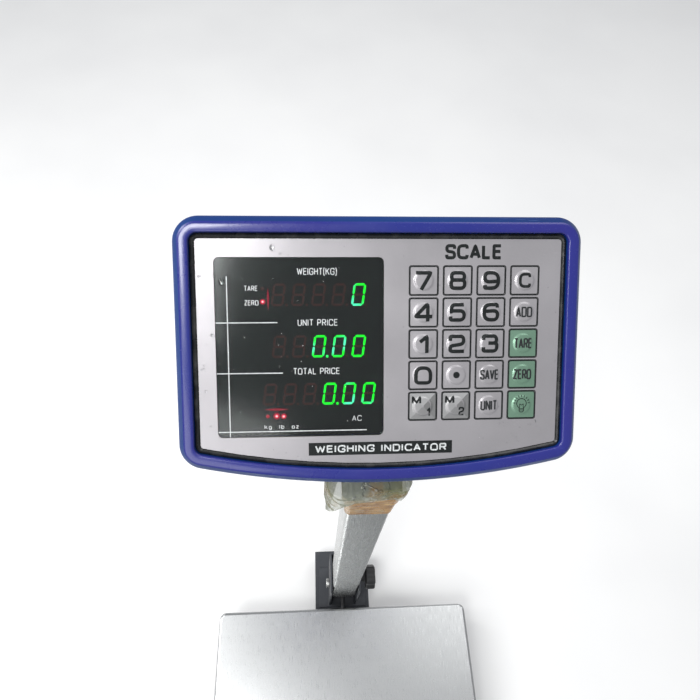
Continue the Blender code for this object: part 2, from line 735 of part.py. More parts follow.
def key_solid():
    """One membrane key: a square cap with a dome, a flange behind the panel and a stem on its switch."""

    def square(side, radius, z):
        return [(x, y, z) for x, y in rounded_rectangle(side, side, radius, 2)]

    def disc(radius, z):
        return [(x, y, z) for x, y in arc(0, 0, radius, 15, 375, 12)[:-1]]

    cap, flange = KEY_OPENING - 2 * GAP, KEY_OPENING + 0.8
    flange_back, flange_front, stem_end = -3.6, -2.5, -4.8
    stem = [disc(3, stem_end), disc(3, flange_back)]
    rim = [square(flange, 1.5, flange_back), square(flange, 1.5, flange_front)]
    face = [square(cap, 1.2, flange_front), square(cap, 1.2, 0)]
    dome = [disc(6.4, 0), disc(5.9, 0.45), disc(3.2, 0.75)]
    return loft(stem + rim + face + dome)


def keypad(panel):
    for name, (x, y) in key_places().items():
        material = "green_key" if name in GREEN_KEYS else "silver_panel"
        part(name, key_solid(), material, (x, y, 0), panel)
    board_middle = (KEY_LEFT + 1.5 * KEY_PITCH_X, KEY_TOP - 2 * KEY_PITCH_Y)
    board = plate(rectangle_at(board_middle, KEYPAD_BOARD_SIZE), -7.4, -5.8)
    part("keypad_board", board, "circuit_board", (0, 0, 0), panel)


def electronics(panel):
    """Three LED modules behind the window, the main board, the battery and the mains transformer."""
    for name, height, digits in DISPLAY_ROWS:
        size = (digits * DIGIT_PITCH, DISPLAY_HEIGHT)
        module = plate(rectangle_at((0, 0), size, 0.6), -11, -3)
        part(name, module, "display_black", (DISPLAY_CENTRE, height, 0), panel)
    board = plate(rectangle_at((0, 3), MAIN_BOARD_SIZE), MAIN_BOARD_LOW, -12)
    part("main_board", board, "circuit_board", (0, 0, 0), panel)
    battery = plate(rectangle_at(BATTERY_CENTRE, BATTERY_SIZE, 2), -52, -19)
    part("battery", battery, "battery_grey", (0, 0, 0), panel)
    transformer = box((34, 6, -44), (76, 42, MAIN_BOARD_LOW - 0.6))
    part("transformer", transformer, "zinc_steel", (0, 0, 0), panel)


def power_inlet(panel):
    """Mains inlet with its recess and three pins."""
    x, y = INLET_CENTRE
    body_size = (INLET_OPENING[0] - 2 * GAP, INLET_OPENING[1] - 2 * GAP)
    lip_size = (INLET_OPENING[0] + 5, INLET_OPENING[1] + 5)
    recess_size = (22, 15)
    mouth, floor, inner = -HEAD_DEPTH - 2.3, -HEAD_DEPTH + 15, -HEAD_DEPTH + 19
    body = plate(rectangle_at(INLET_CENTRE, body_size), mouth + 1, inner)
    lip = plate(rectangle_at(INLET_CENTRE, lip_size, 2.5), mouth, -HEAD_DEPTH - GAP)
    recess = plate(rectangle_at(INLET_CENTRE, recess_size, 3), mouth - 2, floor)
    half_width, half_height, pin_length = 2, 1, 8
    pins = []
    for across, up in ((-7, -2), (0, 3), (7, -2)):
        low = (x + across - half_width, y + up - half_height, floor - pin_length)
        high = (x + across + half_width, y + up + half_height, floor + 1)
        pins.append(box(low, high))
    inlet = part("power_inlet", body, "black_rubber", (0, 0, 0), panel)
    shaped(inlet, "UNION", [lip])
    shaped(inlet, "DIFFERENCE", [recess])
    shaped(inlet, "UNION", pins)


def power_switch(pivot):
    """Rocker that stands in its opening, drawn from the back of the head inwards."""
    half = SWITCH_OPENING[1] / 2 - 1.2
    side = SWITCH_OPENING[0] / 2 - GAP - 0.2
    inner = 4
    rocker = [(-half, -2.6), (-half * 0.2, -0.6), (half, 0.8), (half, inner), (-half, inner)]
    part("power_switch", upright(plate(rocker, -side, side)), "red_plastic", (0, 0, 0), pivot)


def neck_block(pivot):
    """Moulded lug under the head that turns on the tilt bolt."""
    half, top = EAR_INNER - GAP, TILT_DROP - UNDERSIDE_DROP - GAP
    back, front = 16, -11
    outline = [(back, top), (front, top)] + arc(0, 0, EAR_RADIUS - 1, 180, 360, 8)
    hole = circle(0, 0, BOLT_RADIUS + GAP, 14)
    part("neck_block", upright(plate(outline, -half, half, [hole])), "blue_plastic", (0, 0, 0), pivot)


# Cables -------------------------------------------------------------------


def cable(name, points):
    """A captive cable through its route's points, on one smooth curve sampled every few millimetres."""
    curve = bpy.data.curves.new(name, "CURVE")
    curve.dimensions = "3D"
    curve.bevel_depth = CABLE_DIAMETER / 2 * MM
    curve.bevel_resolution = 2
    curve.use_fill_caps = True
    curve.materials.append(bpy.data.materials["cable_grey"])
    path = smooth_route(points, 4)
    spline = curve.splines.new("POLY")
    spline.points.add(len(path) - 1)
    for spot, place in zip(spline.points, path):
        spot.co = (*(Vector(place) * MM), 1)
    obj = bpy.data.objects.new(name, curve)
    bpy.context.scene.collection.objects.link(obj)
    return obj


def smooth_route(points, steps):
    """Catmull-Rom curve through the points, steps samples a span."""
    spots = [Vector(p) for p in points]
    spots = [spots[0] * 2 - spots[1], *spots, spots[-1] * 2 - spots[-2]]
    route = []
    for a, b, c, d in zip(spots, spots[1:], spots[2:], spots[3:]):
        linear, square, cube = c - a, 2 * a - 5 * b + 4 * c - d, 3 * b - 3 * c + d - a
        for i in range(steps):
            t = i / steps
            route.append(b + 0.5 * (linear * t + square * t**2 + cube * t**3))
    return [*route, spots[-2]]


def cables(column_pivot):
    """The load cell's cable, along the lower frame and then up inside the column."""
    cell_rear = DECK_MIDDLE + CELL_LENGTH / 2 + 0.5
    cell_middle = CELL_LOW + 10
    lying = FRAME_HIGH + 3.2
    from_cell = [(0, cell_rear, cell_middle), (0, cell_rear + 14, cell_middle)]
    drop = [(6, cell_rear + 32, FRAME_HIGH + 5), (8, cell_rear + 60, lying)]
    along = [(6, cell_rear + 100, lying), (2, DECK_REAR - 20, lying)]
    rise = [(0, COLUMN_Y - 40, FRAME_HIGH + 6), (0, COLUMN_Y - 16, FRAME_HIGH + 10)]
    into_column = [(0, COLUMN_Y - 5, FRAME_HIGH + 24), (0, COLUMN_Y - 2, FOLD_HEIGHT - 32)]
    cable("load_cell_cable", from_cell + drop + along + rise + into_column)
    top = TUBE_TOP - FOLD_HEIGHT + 4
    foot = [(0, -10, -12), (2, -11, 20)]
    wandering = [(4, -9, 120), (-3, -8, 250), (3, -6, 380), (0, -2, top - 54), (0, 0, top)]
    cable("column_cable", foot + wandering).parent = column_pivot


def main():
    clear_scene()
    make_materials()

    lower_frame()
    feet()
    load_cell()
    upper_frame()
    deck_pads()
    deck_pan()
    bubble_level()

    column_bracket()
    fold_bolt = bolt(TUBE_SIDE / 2 + EAR_CLEARANCE + BRACKET_SHEET + GAP, 5)
    part("fold_bolt", fold_bolt, "zinc_steel", (0, COLUMN_Y, FOLD_HEIGHT))
    hand_knob()
    column_pivot = empty("column_pivot", (0, COLUMN_Y, FOLD_HEIGHT))
    column_tube(column_pivot)
    tilt_bracket(column_pivot)
    joint_wrap(column_pivot)

    head_pivot = empty("head_pivot", (0, TILT_BEHIND_COLUMN, TILT_HEIGHT - FOLD_HEIGHT), column_pivot)
    panel_offset = (0, PANEL_BEHIND_COLUMN - TILT_BEHIND_COLUMN, TILT_DROP)
    panel = empty("panel_frame", panel_offset, head_pivot, 90 - FACE_ELEVATION)
    switch_pivot = empty("switch_pivot", (*SWITCH_CENTRE, -HEAD_DEPTH), panel)
    neck_block(head_pivot)
    front_bezel(panel)
    rear_housing(panel)
    battery_cover(panel)
    panel_gasket(panel)
    front_panel(panel)
    keypad(panel)
    electronics(panel)
    power_inlet(panel)
    power_switch(switch_pivot)
    cables(column_pivot)


main()
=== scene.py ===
"""Looks for the platform scale: smooth shells, printed panel, LED digits, tape and film, and every finish.

Shapes are drawn in millimetres, either in the row frame or in the front panel's own frame: u to the
operator's right, v up the panel, w out of its face, from the panel's centre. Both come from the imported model.
"""

import json
import math
import random

import bmesh
import bpy
from mathutils import Euler, Matrix, Vector, noise


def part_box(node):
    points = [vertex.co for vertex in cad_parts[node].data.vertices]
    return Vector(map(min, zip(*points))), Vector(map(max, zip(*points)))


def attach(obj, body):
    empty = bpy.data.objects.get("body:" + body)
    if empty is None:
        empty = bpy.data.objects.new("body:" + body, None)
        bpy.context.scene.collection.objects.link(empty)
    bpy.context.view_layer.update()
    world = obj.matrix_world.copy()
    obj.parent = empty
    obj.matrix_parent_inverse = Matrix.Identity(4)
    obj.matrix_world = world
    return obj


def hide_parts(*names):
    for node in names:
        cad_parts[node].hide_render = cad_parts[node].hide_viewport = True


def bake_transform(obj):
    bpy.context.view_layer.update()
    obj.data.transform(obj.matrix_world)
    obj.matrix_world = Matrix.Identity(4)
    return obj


MM = 0.001
KEY_FLAT = 18.0
KEY_OUTLINE = 19.3
KEY_DOME = 6.9
KEY_DOME_HEIGHT = 0.75
PANEL_HALF = 66.0  # the panel's half height, less the sag of its lower edge
PANEL_SAG = 12.2
PANEL_CORNER = 2
INK = 0.03
SEGMENT_DEPTH = 0.3
SCREEN = "display_black"

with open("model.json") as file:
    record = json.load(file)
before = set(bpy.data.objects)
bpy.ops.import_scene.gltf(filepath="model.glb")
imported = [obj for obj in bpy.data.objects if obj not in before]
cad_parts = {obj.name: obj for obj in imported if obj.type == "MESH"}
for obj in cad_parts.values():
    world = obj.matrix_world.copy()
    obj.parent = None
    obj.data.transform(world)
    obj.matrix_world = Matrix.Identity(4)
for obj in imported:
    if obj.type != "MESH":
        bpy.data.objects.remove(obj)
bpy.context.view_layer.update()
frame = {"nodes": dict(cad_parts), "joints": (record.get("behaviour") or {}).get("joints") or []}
NODES = frame["nodes"]
JOINTS = {joint["name"]: joint for joint in frame["joints"]}


# Frames of reference ----


def panel_frame():
    """Matrix from the panel's own millimetres to the row frame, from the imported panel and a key's axis."""
    out = -Vector(JOINTS["key_7_press"]["axis"]).normalized()
    right = Vector((1, 0, 0))
    up = out.cross(right)
    points = [v.co for v in NODES["front_panel"].data.vertices]
    face = max(out.dot(p) for p in points)
    lowest, highest = min(up.dot(p) for p in points), max(up.dot(p) for p in points)
    middle = highest - (highest - lowest) * PANEL_HALF / (2 * PANEL_HALF + PANEL_SAG)
    origin = up * middle + out * face
    turn = Matrix((right, up, out)).transposed().to_4x4()
    return Matrix.Translation(origin) @ turn @ Matrix.Scale(MM, 4)


PANEL = panel_frame()
WORLD = Matrix.Scale(MM, 4)
PANEL_INVERSE = PANEL.inverted()
FOLD = Vector(JOINTS["column_fold"]["pos_m"]) / MM


def panel_box(node):
    """Lowest and highest corner of a CAD node in the panel's frame, in millimetres."""
    points = [PANEL_INVERSE @ v.co for v in NODES[node].data.vertices]
    low = Vector(min(p[i] for p in points) for i in range(3))
    high = Vector(max(p[i] for p in points) for i in range(3))
    return low, high


def panel_centre(node):
    low, high = panel_box(node)
    return (low.x + high.x) / 2, (low.y + high.y) / 2


def world_box(node):
    low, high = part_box(node)
    return low / MM, high / MM


# Outlines ----


def arc(cx, cy, radius, start, end, steps):
    angles = [math.radians(start + (end - start) * i / steps) for i in range(steps + 1)]
    return [(cx + radius * math.cos(a), cy + radius * math.sin(a)) for a in angles]


def rounded_rectangle(width, height, radius, steps=6, centre=(0, 0)):
    x, y = width / 2 - radius, height / 2 - radius
    cx, cy = centre
    corners = ((x, y, 0), (-x, y, 90), (-x, -y, 180), (x, -y, 270))
    return [p for dx, dy, a in corners for p in arc(cx + dx, cy + dy, radius, a, a + 90, steps)]


def head_outline(offset, steps=14):
    """The panel's outline grown by offset, as the CAD source draws it, with finer arcs."""
    low, high = panel_box("front_panel")
    half_width, top = high.x, high.y
    sag_radius = (half_width**2 + PANEL_SAG**2) / (2 * PANEL_SAG)
    sag_centre = low.y + sag_radius
    radius = max(PANEL_CORNER + offset, 0.8)
    x = half_width + offset - radius
    y = top + offset - radius
    bottom = sag_centre - math.sqrt((sag_radius + offset - radius) ** 2 - x**2)
    lean = math.degrees(math.atan2(x, sag_centre - bottom))
    sag = arc(0, sag_centre, sag_radius + offset, 270 - lean, 270 + lean, 40)
    return (
        arc(x, y, radius, 0, 90, steps)
        + arc(-x, y, radius, 90, 180, steps)
        + arc(-x, bottom, radius, 180, 270 - lean, steps)
        + sag[1:-1]
        + arc(x, bottom, radius, 270 + lean, 360, steps)
    )


def smooth_profile(points, steps=4):
    """Catmull-Rom curve through profile points."""
    spots = [Vector(p) for p in points]
    spots = [spots[0] * 2 - spots[1], *spots, spots[-1] * 2 - spots[-2]]
    curve = []
    for a, b, c, d in zip(spots, spots[1:], spots[2:], spots[3:]):
        for i in range(steps):
            t = i / steps
            square, cube = 2 * a - 5 * b + 4 * c - d, 3 * b - 3 * c + d - a
            curve.append(0.5 * (2 * b + (c - a) * t + square * t**2 + cube * t**3))
    return [tuple(p) for p in [*curve, spots[-2]]]


def fillet(points, radius, steps=6):
    """An open path with each inner corner rounded."""
    path = [Vector(points[0])]
    for before, corner, after in zip(points, points[1:], points[2:]):
        before, corner, after = Vector(before), Vector(corner), Vector(after)
        cut = min(radius, (corner - before).length / 2, (after - corner).length / 2)
        start = corner + (before - corner).normalized() * cut
        end = corner + (after - corner).normalized() * cut
        for i in range(steps + 1):
            t = i / steps
            path.append(start * (1 - t) ** 2 + corner * 2 * t * (1 - t) + end * t**2)
    path.append(Vector(points[-1]))
    return path


def resampled(path, step):
    """The path with points added so that none are further apart than step."""
    out = [path[0]]
    for a, b in zip(path, path[1:]):
        count = max(1, math.ceil((b - a).length / step))
        out += [a.lerp(b, (i + 1) / count) for i in range(count)]
    return [p for i, p in enumerate(out) if i == 0 or (p - out[i - 1]).length > 1e-5]


# Solids, as bmesh in millimetres ----


def plate(outline, low, high, holes=()):
    bm = bmesh.new()
    edges = []
    for loop in (outline, *holes):
        verts = [bm.verts.new((x, y, low)) for x, y in loop]
        edges += [bm.edges.new(pair) for pair in zip(verts, verts[1:] + verts[:1])]
    bmesh.ops.triangle_fill(bm, edges=edges, use_beauty=True)
    thicken(bm, high - low)
    return bm


def thicken(bm, height):
    """Turns a flat sheet into a solid of that height, along Z."""
    grown = bmesh.ops.extrude_face_region(bm, geom=bm.faces[:])["geom"]
    top = [item for item in grown if isinstance(item, bmesh.types.BMVert)]
    bmesh.ops.translate(bm, verts=top, vec=(0, 0, height))
    bmesh.ops.recalc_face_normals(bm, faces=bm.faces[:])


def strips(bm, rows, closed=True):
    """The new faces between neighbouring rows of points, all the way round when closed."""
    faces = []
    for lower, upper in zip(rows, rows[1:]):
        for i in range(len(lower) if closed else len(lower) - 1):
            j = (i + 1) % len(lower)
            faces.append(bm.faces.new((lower[i], lower[j], upper[j], upper[i])))
    return faces


def loft(loops, ring=False):
    bm = bmesh.new()
    rows = [[bm.verts.new(point) for point in loop] for loop in loops]
    strips(bm, rows + rows[:1] if ring else rows)
    if not ring:
        bm.faces.new(rows[0])
        bm.faces.new(rows[-1])
    bmesh.ops.recalc_face_normals(bm, faces=bm.faces[:])
    return bm


def swept_ring(profile, outline):
    return loft([[(x, y, z) for x, y in outline(offset)] for offset, z in profile], ring=True)


def turned(profile, sides=48):
    bm = bmesh.new()
    verts = [bm.verts.new((radius, 0, z)) for radius, z in profile]
    edges = [bm.edges.new(pair) for pair in zip(verts, verts[1:])]
    bmesh.ops.spin(bm, geom=verts + edges, axis=(0, 0, 1), angle=math.tau, steps=sides, use_merge=True)
    bmesh.ops.remove_doubles(bm, verts=bm.verts[:], dist=0.001)
    bmesh.ops.recalc_face_normals(bm, faces=bm.faces[:])
    return bm


def moved(bm, x=0, y=0, z=0):
    bm.transform(Matrix.Translation((x, y, z)))
    return bm


def joined(parts):
    """One bmesh holding all of the given ones, which are freed."""
    whole = bmesh.new()
    for bm in parts:
        mesh = bpy.data.meshes.new("part")
        bm.to_mesh(mesh)
        bm.free()
        whole.from_mesh(mesh)
        bpy.data.meshes.remove(mesh)
    return whole


def stroke(points, width, radius=0.0, step=0.5, across=4):
    """Flat stroke of constant width along a path, as a sheet of small cells that can be draped."""
    path = resampled(fillet(points, radius) if radius else [Vector(p) for p in points], step)
    bm = bmesh.new()
    rows = []
    for i, spot in enumerate(path):
        back = path[max(i - 1, 0)]
        ahead = path[min(i + 1, len(path) - 1)]
        side = Vector((back.y - ahead.y, ahead.x - back.x)).normalized()
        offsets = [(j / across - 0.5) * width for j in range(across + 1)]
        rows.append([bm.verts.new((*(spot + side * o), 0)) for o in offsets])
    strips(bm, rows, closed=False)
    return bm


def frame_line(size, radius, line, across=2):
    """Flat closed line round a rounded square, its outer size given."""
    bm = bmesh.new()
    rows = []
    for j in range(across + 1):
        inset = line * j / across
        outline = rounded_rectangle(size - 2 * inset, size - 2 * inset, radius - inset, 5)
        rows.append([bm.verts.new((x, y, 0)) for x, y in outline])
    strips(bm, rows)
    return bm


# Letters: how wide each is against its height, its rounded strokes and its straight ones. Strokes are written
# as points in hundredths of the letter's box, with a slash between two.
LETTERS = {
    "A": (0.74, "", "0,0 50,100 100,0/20,30 80,30"),
    "C": (0.76, "100,76 98,100 0,100 0,0 98,0 100,24", ""),
    "D": (0.76, "20,100 100,100 100,0 20,0", "24,0 0,0 0,100 24,100"),
    "E": (0.62, "", "100,100 0,100 0,0 100,0/0,53 92,53"),
    "F": (0.6, "", "100,100 0,100 0,0/0,53 88,53"),
    "G": (0.78, "100,70 100,100 0,100 0,0 100,0 100,46", "100,46 56,46"),
    "H": (0.68, "", "0,0 0,100/100,0 100,100/0,53 100,53"),
    "I": (0.02, "", "0,0 0,100"),
    "K": (0.72, "", "0,0 0,100/100,100 0,36/36,60 100,0"),
    "L": (0.58, "", "0,100 0,0 100,0"),
    "M": (0.86, "", "0,0 0,100 50,10 100,100 100,0"),
    "N": (0.7, "", "0,0 0,100 100,0 100,100"),
    "O": (0.8, "50,0 0,0 0,100 100,100 100,0 50,0", ""),
    "P": (0.66, "0,100 100,100 100,45 0,45", "0,0 0,100"),
    "R": (0.7, "0,100 100,100 100,48 0,48", "0,0 0,100/55,48 100,0"),
    "S": (0.68, "100,74 100,100 0,100 0,54 100,46 100,0 0,0 0,26", ""),
    "T": (0.66, "", "0,100 100,100/50,100 50,0"),
    "U": (0.7, "0,100 0,0 100,0 100,100", ""),
    "V": (0.72, "", "0,100 50,0 100,100"),
    "W": (1.06, "", "0,100 25,0 50,90 75,0 100,100"),
    "Z": (0.66, "", "0,100 100,100 0,0 100,0"),
    "(": (0.18, "", "100,114 35,94 0,64 0,28 35,-2 100,-22"),
    ")": (0.18, "", "0,114 65,94 100,64 100,28 65,-2 0,-22"),
    "k": (0.52, "", "0,0 0,100/90,70 0,30/36,44 100,0"),
    "g": (0.5, "50,0 0,0 0,70 100,70 100,-30 0,-30", "100,0 50,0"),
    "l": (0.02, "", "0,0 0,100"),
    "b": (0.5, "0,70 100,70 100,0 0,0", "0,0 0,100"),
    "o": (0.5, "50,0 0,0 0,70 100,70 100,0 50,0", ""),
    "z": (0.48, "", "0,70 100,70 0,0 100,0"),
    " ": (0.3, "", ""),
}
LETTER_GAP = 0.36


def strokes(text):
    """The strokes of a character as lists of points, in a box one wide and one high."""
    paths = [[spot.split(",") for spot in path.split()] for path in text.split("/") if path]
    return [[(int(x) / 100, int(y) / 100) for x, y in path] for path in paths]


def layered(sheets):
    """Flat sheets as one, each a hair above the last so that no two share a plane."""
    return joined([moved(bm, z=0.0015 * i) for i, bm in enumerate(sheets)])


def word(text, height, width, line):
    """A word that tall, spread over that width and centred on the origin, in strokes line thick."""
    tall = height - line
    total = sum(LETTERS[c][0] for c in text) + LETTER_GAP * (len(text) - 1)
    scale = (width - line) / total
    left = -(width - line) / 2
    sheets = []
    for character in text:
        share, rounded, straight = LETTERS[character]
        for paths, radius in ((rounded, 0.7 * share * scale), (straight, 0)):
            for path in strokes(paths):
                spots = [(left + x * share * scale, (y - 0.5) * tall) for x, y in path]
                sheets.append(stroke(spots, line, radius))
        left += (share + LETTER_GAP) * scale
    return layered(sheets)


# Pieces ----


def placed(name, data):
    """A new object in the scene."""
    obj = bpy.data.objects.new(name, data)
    bpy.context.scene.collection.objects.link(obj)
    return obj


def meshed(name, bm, finishes, place):
    """An object from a bmesh in millimetres, which is freed."""
    bm.transform(place)
    mesh = bpy.data.meshes.new(name)
    bm.to_mesh(mesh)
    bm.free()
    for finish in finishes:
        mesh.materials.append(MAT[finish])
    return placed(name, mesh)


def piece(name, bm, finishes, body="head", place=PANEL, replaces=(), smooth=True, sharp=35):
    """A finished piece from a bmesh in millimetres, riding on a CAD body."""
    obj = meshed(name, bm, [finishes] if isinstance(finishes, str) else finishes, place)
    if smooth:
        obj.data.shade_smooth()
        obj.data.set_sharp_from_angle(angle=math.radians(sharp))
    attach(obj, body)
    if replaces:
        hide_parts(*replaces)
    return obj


def printed(name, sheet, finish="ink", body="head", x=0, y=0, z=0.01):
    """A flat sheet of print, given the ink's thickness and laid on the panel."""
    thicken(sheet, INK)
    piece(name, moved(sheet, x, y, z), finish, body, smooth=False)


def softened(obj, width, angle):
    """Rounds a piece's sharp edges a little, so that they catch the light."""
    bevel = obj.modifiers.new("soft_edges", "BEVEL")
    bevel.width = width * MM
    bevel.segments = 2
    bevel.limit_method = "ANGLE"
    bevel.angle_limit = math.radians(angle)
    bevel.harden_normals = True


def refinish(node, finish, bevel, angle):
    """Gives a CAD node its finish, soft edges and even shading, without touching its points."""
    obj = NODES[node]
    obj.data.materials.clear()
    obj.data.materials.append(MAT[finish])
    if "custom_normal" in obj.data.attributes:
        obj.data.attributes.remove(obj.data.attributes["custom_normal"])
    obj.data.shade_smooth()
    weld = obj.modifiers.new("weld", "WELD")
    weld.merge_threshold = 0.01 * MM
    if bevel:
        softened(obj, bevel, angle)
        obj.modifiers.new("even_shading", "WEIGHTED_NORMAL")
    else:
        split = obj.modifiers.new("crisp_edges", "EDGE_SPLIT")
        split.split_angle = math.radians(35)


# Materials ----


class Finish:
    """A Principled material and a short way to write its procedural detail. Scales are features per metre."""

    def __init__(self, name, colour, roughness, metallic=0.0, **sockets):
        self.material = bpy.data.materials.new(name)
        self.material.use_nodes = True
        self.tree = self.material.node_tree
        self.shader = self.tree.nodes["Principled BSDF"]
        self.colour = None
        self.normal = None
        self.base = (*colour, 1)
        self.set("Base Color", self.base)
        self.set("Roughness", roughness)
        self.set("Metallic", metallic)
        for socket, value in sockets.items():
            self.set(socket.replace("_", " ").title().replace("Ior", "IOR"), value)
        self.material.diffuse_color = self.base
        self.place = self.node("ShaderNodeTexCoord").outputs["Object"]

    def set(self, socket, value):
        self.shader.inputs[socket].default_value = value

    def node(self, kind, **settings):
        made = self.tree.nodes.new(kind)
        for name, value in settings.items():
            setattr(made, name, value)
        return made

    def link(self, out, into):
        self.tree.links.new(out, into)

    def spread(self, texture, scale, stretch=(1, 1, 1), turn=(0, 0, 0)):
        """Lays a texture over the object at that scale."""
        mapping = self.node("ShaderNodeMapping")
        mapping.inputs["Scale"].default_value = stretch
        mapping.inputs["Rotation"].default_value = [math.radians(a) for a in turn]
        self.link(self.place, mapping.inputs["Vector"])
        self.link(mapping.outputs["Vector"], texture.inputs["Vector"])
        texture.inputs["Scale"].default_value = scale

    def noise(self, scale, detail, stretch=(1, 1, 1), turn=(0, 0, 0), rough=0.55):
        texture = self.node("ShaderNodeTexNoise")
        self.spread(texture, scale, stretch, turn)
        texture.inputs["Detail"].default_value = detail
        texture.inputs["Roughness"].default_value = rough
        return texture.outputs[0]

    def cells(self, scale, feature="F1"):
        texture = self.node("ShaderNodeTexVoronoi", feature=feature)
        self.spread(texture, scale)
        return texture.outputs["Distance"]

    def band(self, value, low, high, to_low=0.0, to_high=1.0):
        """Maps value from low..high to to_low..to_high, clamped."""
        node = self.node("ShaderNodeMapRange", clamp=True)
        self.link(value, node.inputs["Value"])
        for name, number in zip(("From Min", "From Max", "To Min", "To Max"), (low, high, to_low, to_high)):
            node.inputs[name].default_value = number
        return node.outputs["Result"]

    def times(self, a, b):
        node = self.node("ShaderNodeMath", operation="MULTIPLY")
        self.link(a, node.inputs[0])
        self.link(b, node.inputs[1])
        return node.outputs[0]

    def tint(self, mask, colour):
        """Mixes a colour over what the base colour already is, by the mask."""
        mix = self.node("ShaderNodeMix", data_type="RGBA")
        self.link(mask, mix.inputs[0])
        mix.inputs[6].default_value = self.base
        if self.colour:
            self.link(self.colour, mix.inputs[6])
        mix.inputs[7].default_value = (*colour, 1)
        self.colour = mix.outputs[2]
        self.link(self.colour, self.shader.inputs["Base Color"])
        return self

    def mottle(self, scale, detail, low, high, colour, stretch=(1, 1, 1)):
        """Tints where noise passes from low to high."""
        return self.tint(self.band(self.noise(scale, detail, stretch), low, high), colour)

    def specks(self, scale, low, high, colour, feature="F1"):
        """Tints near the middles or the borders of cells."""
        return self.tint(self.band(self.cells(scale, feature), low, high), colour)

    def roughen(self, value, smoothest, roughest, low=0.3, high=0.7):
        """Roughness that follows a texture."""
        self.link(self.band(value, low, high, smoothest, roughest), self.shader.inputs["Roughness"])
        return self

    def gloss(self, scale, detail, smoothest, roughest, low=0.3, high=0.7, stretch=(1, 1, 1)):
        return self.roughen(self.noise(scale, detail, stretch), smoothest, roughest, low, high)

    def bump(self, height, depth, strength=1.0):
        """Adds relief of that depth in millimetres, after a texture."""
        node = self.node("ShaderNodeBump")
        node.inputs["Strength"].default_value = strength
        node.inputs["Distance"].default_value = depth * MM
        self.link(height, node.inputs["Height"])
        if self.normal:
            self.link(self.normal, node.inputs["Normal"])
        self.normal = node.outputs["Normal"]
        self.link(self.normal, self.shader.inputs["Normal"])
        return self

    def relief(self, scale, detail, depth, strength=1.0, **texture):
        return self.bump(self.noise(scale, detail, **texture), depth, strength)

    def scratches(self, colour, turn=(20, 30, 15), density=0.7, scale=60):
        """Sparse fine scratches, long in one direction."""
        streaks = self.noise(scale, 2, (1, 26, 26), turn)
        mask = self.band(streaks, density, density + 0.025)
        patches = self.band(self.noise(9, 2), 0.5, 0.62)
        return self.tint(self.times(mask, patches), colour)

    def edges(self, colour, radius=0.8, low=0.02, high=0.25):
        """Worn edges, found where the rounded normal turns away from the surface."""
        bevel = self.node("ShaderNodeBevel", samples=4)
        bevel.inputs["Radius"].default_value = radius * MM
        geometry = self.node("ShaderNodeNewGeometry")
        dot = self.node("ShaderNodeVectorMath", operation="DOT_PRODUCT")
        self.link(bevel.outputs[0], dot.inputs[0])
        self.link(geometry.outputs["Normal"], dot.inputs[1])
        worn = self.band(dot.outputs["Value"], 1 - low, 1 - high)
        chips = self.band(self.noise(220, 4), 0.46, 0.6)
        return self.tint(self.times(worn, chips), colour)


def shade(colour, factor, added=0.0):
    return tuple(min(1, c * factor + added) for c in colour)


def blue(name, colour, roughness, cast, speck, scratch, gloss, **sockets):
    """Blue plastic as the mould left it, with a faint cast, specks and fine scratches."""
    f = Finish(name, colour, roughness, **sockets)
    f.mottle(14, 2, 0.35, 0.7, cast).specks(700, 0.10, 0.05, speck).scratches(scratch, density=0.71)
    return f.gloss(35, 4, *gloss).relief(260, 2, 0.02).material


def silver(name, colour):
    """Silver-printed film, metallic grain in its paint."""
    f = Finish(name, colour, 0.36, 0.55, ior=1.5)
    lighter = shade(colour, 1.08)
    f.mottle(16, 3, 0.3, 0.7, shade(colour, 0.88)).mottle(3800, 2, 0.5, 0.75, lighter)
    f.specks(160, 0.07, 0.03, shade(colour, 0.6))
    f.scratches(lighter, (0, 35, 70), 0.7, 45).gloss(24, 4, 0.28, 0.42)
    return f.relief(2600, 2, 0.008).relief(30, 2, 0.04, 0.5).material


def ink(name, colour):
    f = Finish(name, colour, 0.42, specular_ior_level=0.2)
    f.mottle(900, 3, 0.45, 0.8, shade(colour, 1.8, 0.004))
    return f.gloss(60, 3, 0.34, 0.5).relief(2600, 2, 0.006).material


def brushed(name, colour, stretch, smoothest, roughest):
    """Brushed metal whose grain runs along the axis that stretch leaves small."""
    f = Finish(name, colour, 0.3, 1.0)
    grain = f.noise(60, 4, stretch, rough=0.7)
    f.tint(f.band(grain, 0.35, 0.7), shade(colour, 0.78))
    f.mottle(11, 3, 0.5, 0.8, shade(colour, 0.86))
    f.scratches(shade(colour, 0.45), (12, 8, 40), 0.72, 30)
    return f.roughen(grain, smoothest, roughest).bump(grain, 0.012).material


def circuit_board():
    f = Finish("circuit_board", (0.015, 0.13, 0.055), 0.4)
    f.specks(260, 0.06, 0.03, (0.03, 0.22, 0.10), "DISTANCE_TO_EDGE")
    f.specks(420, 0.14, 0.10, (0.55, 0.52, 0.42)).gloss(100, 3, 0.3, 0.5)
    return f.bump(f.cells(260, "DISTANCE_TO_EDGE"), 0.03).material


def packing_tape():
    f = Finish("packing_tape", (0.46, 0.235, 0.055), 0.3, coat_weight=0.4, coat_roughness=0.2)
    f.mottle(48, 4, 0.42, 0.62, (0.27, 0.125, 0.028), (1, 1, 3))
    f.mottle(120, 4, 0.56, 0.68, (0.64, 0.42, 0.16), (1, 1, 4))
    f.mottle(38, 3, 0.60, 0.72, (0.46, 0.36, 0.20)).gloss(120, 4, 0.18, 0.42)
    return f.relief(170, 5, 0.5, stretch=(1, 1, 3.2), rough=0.65).material


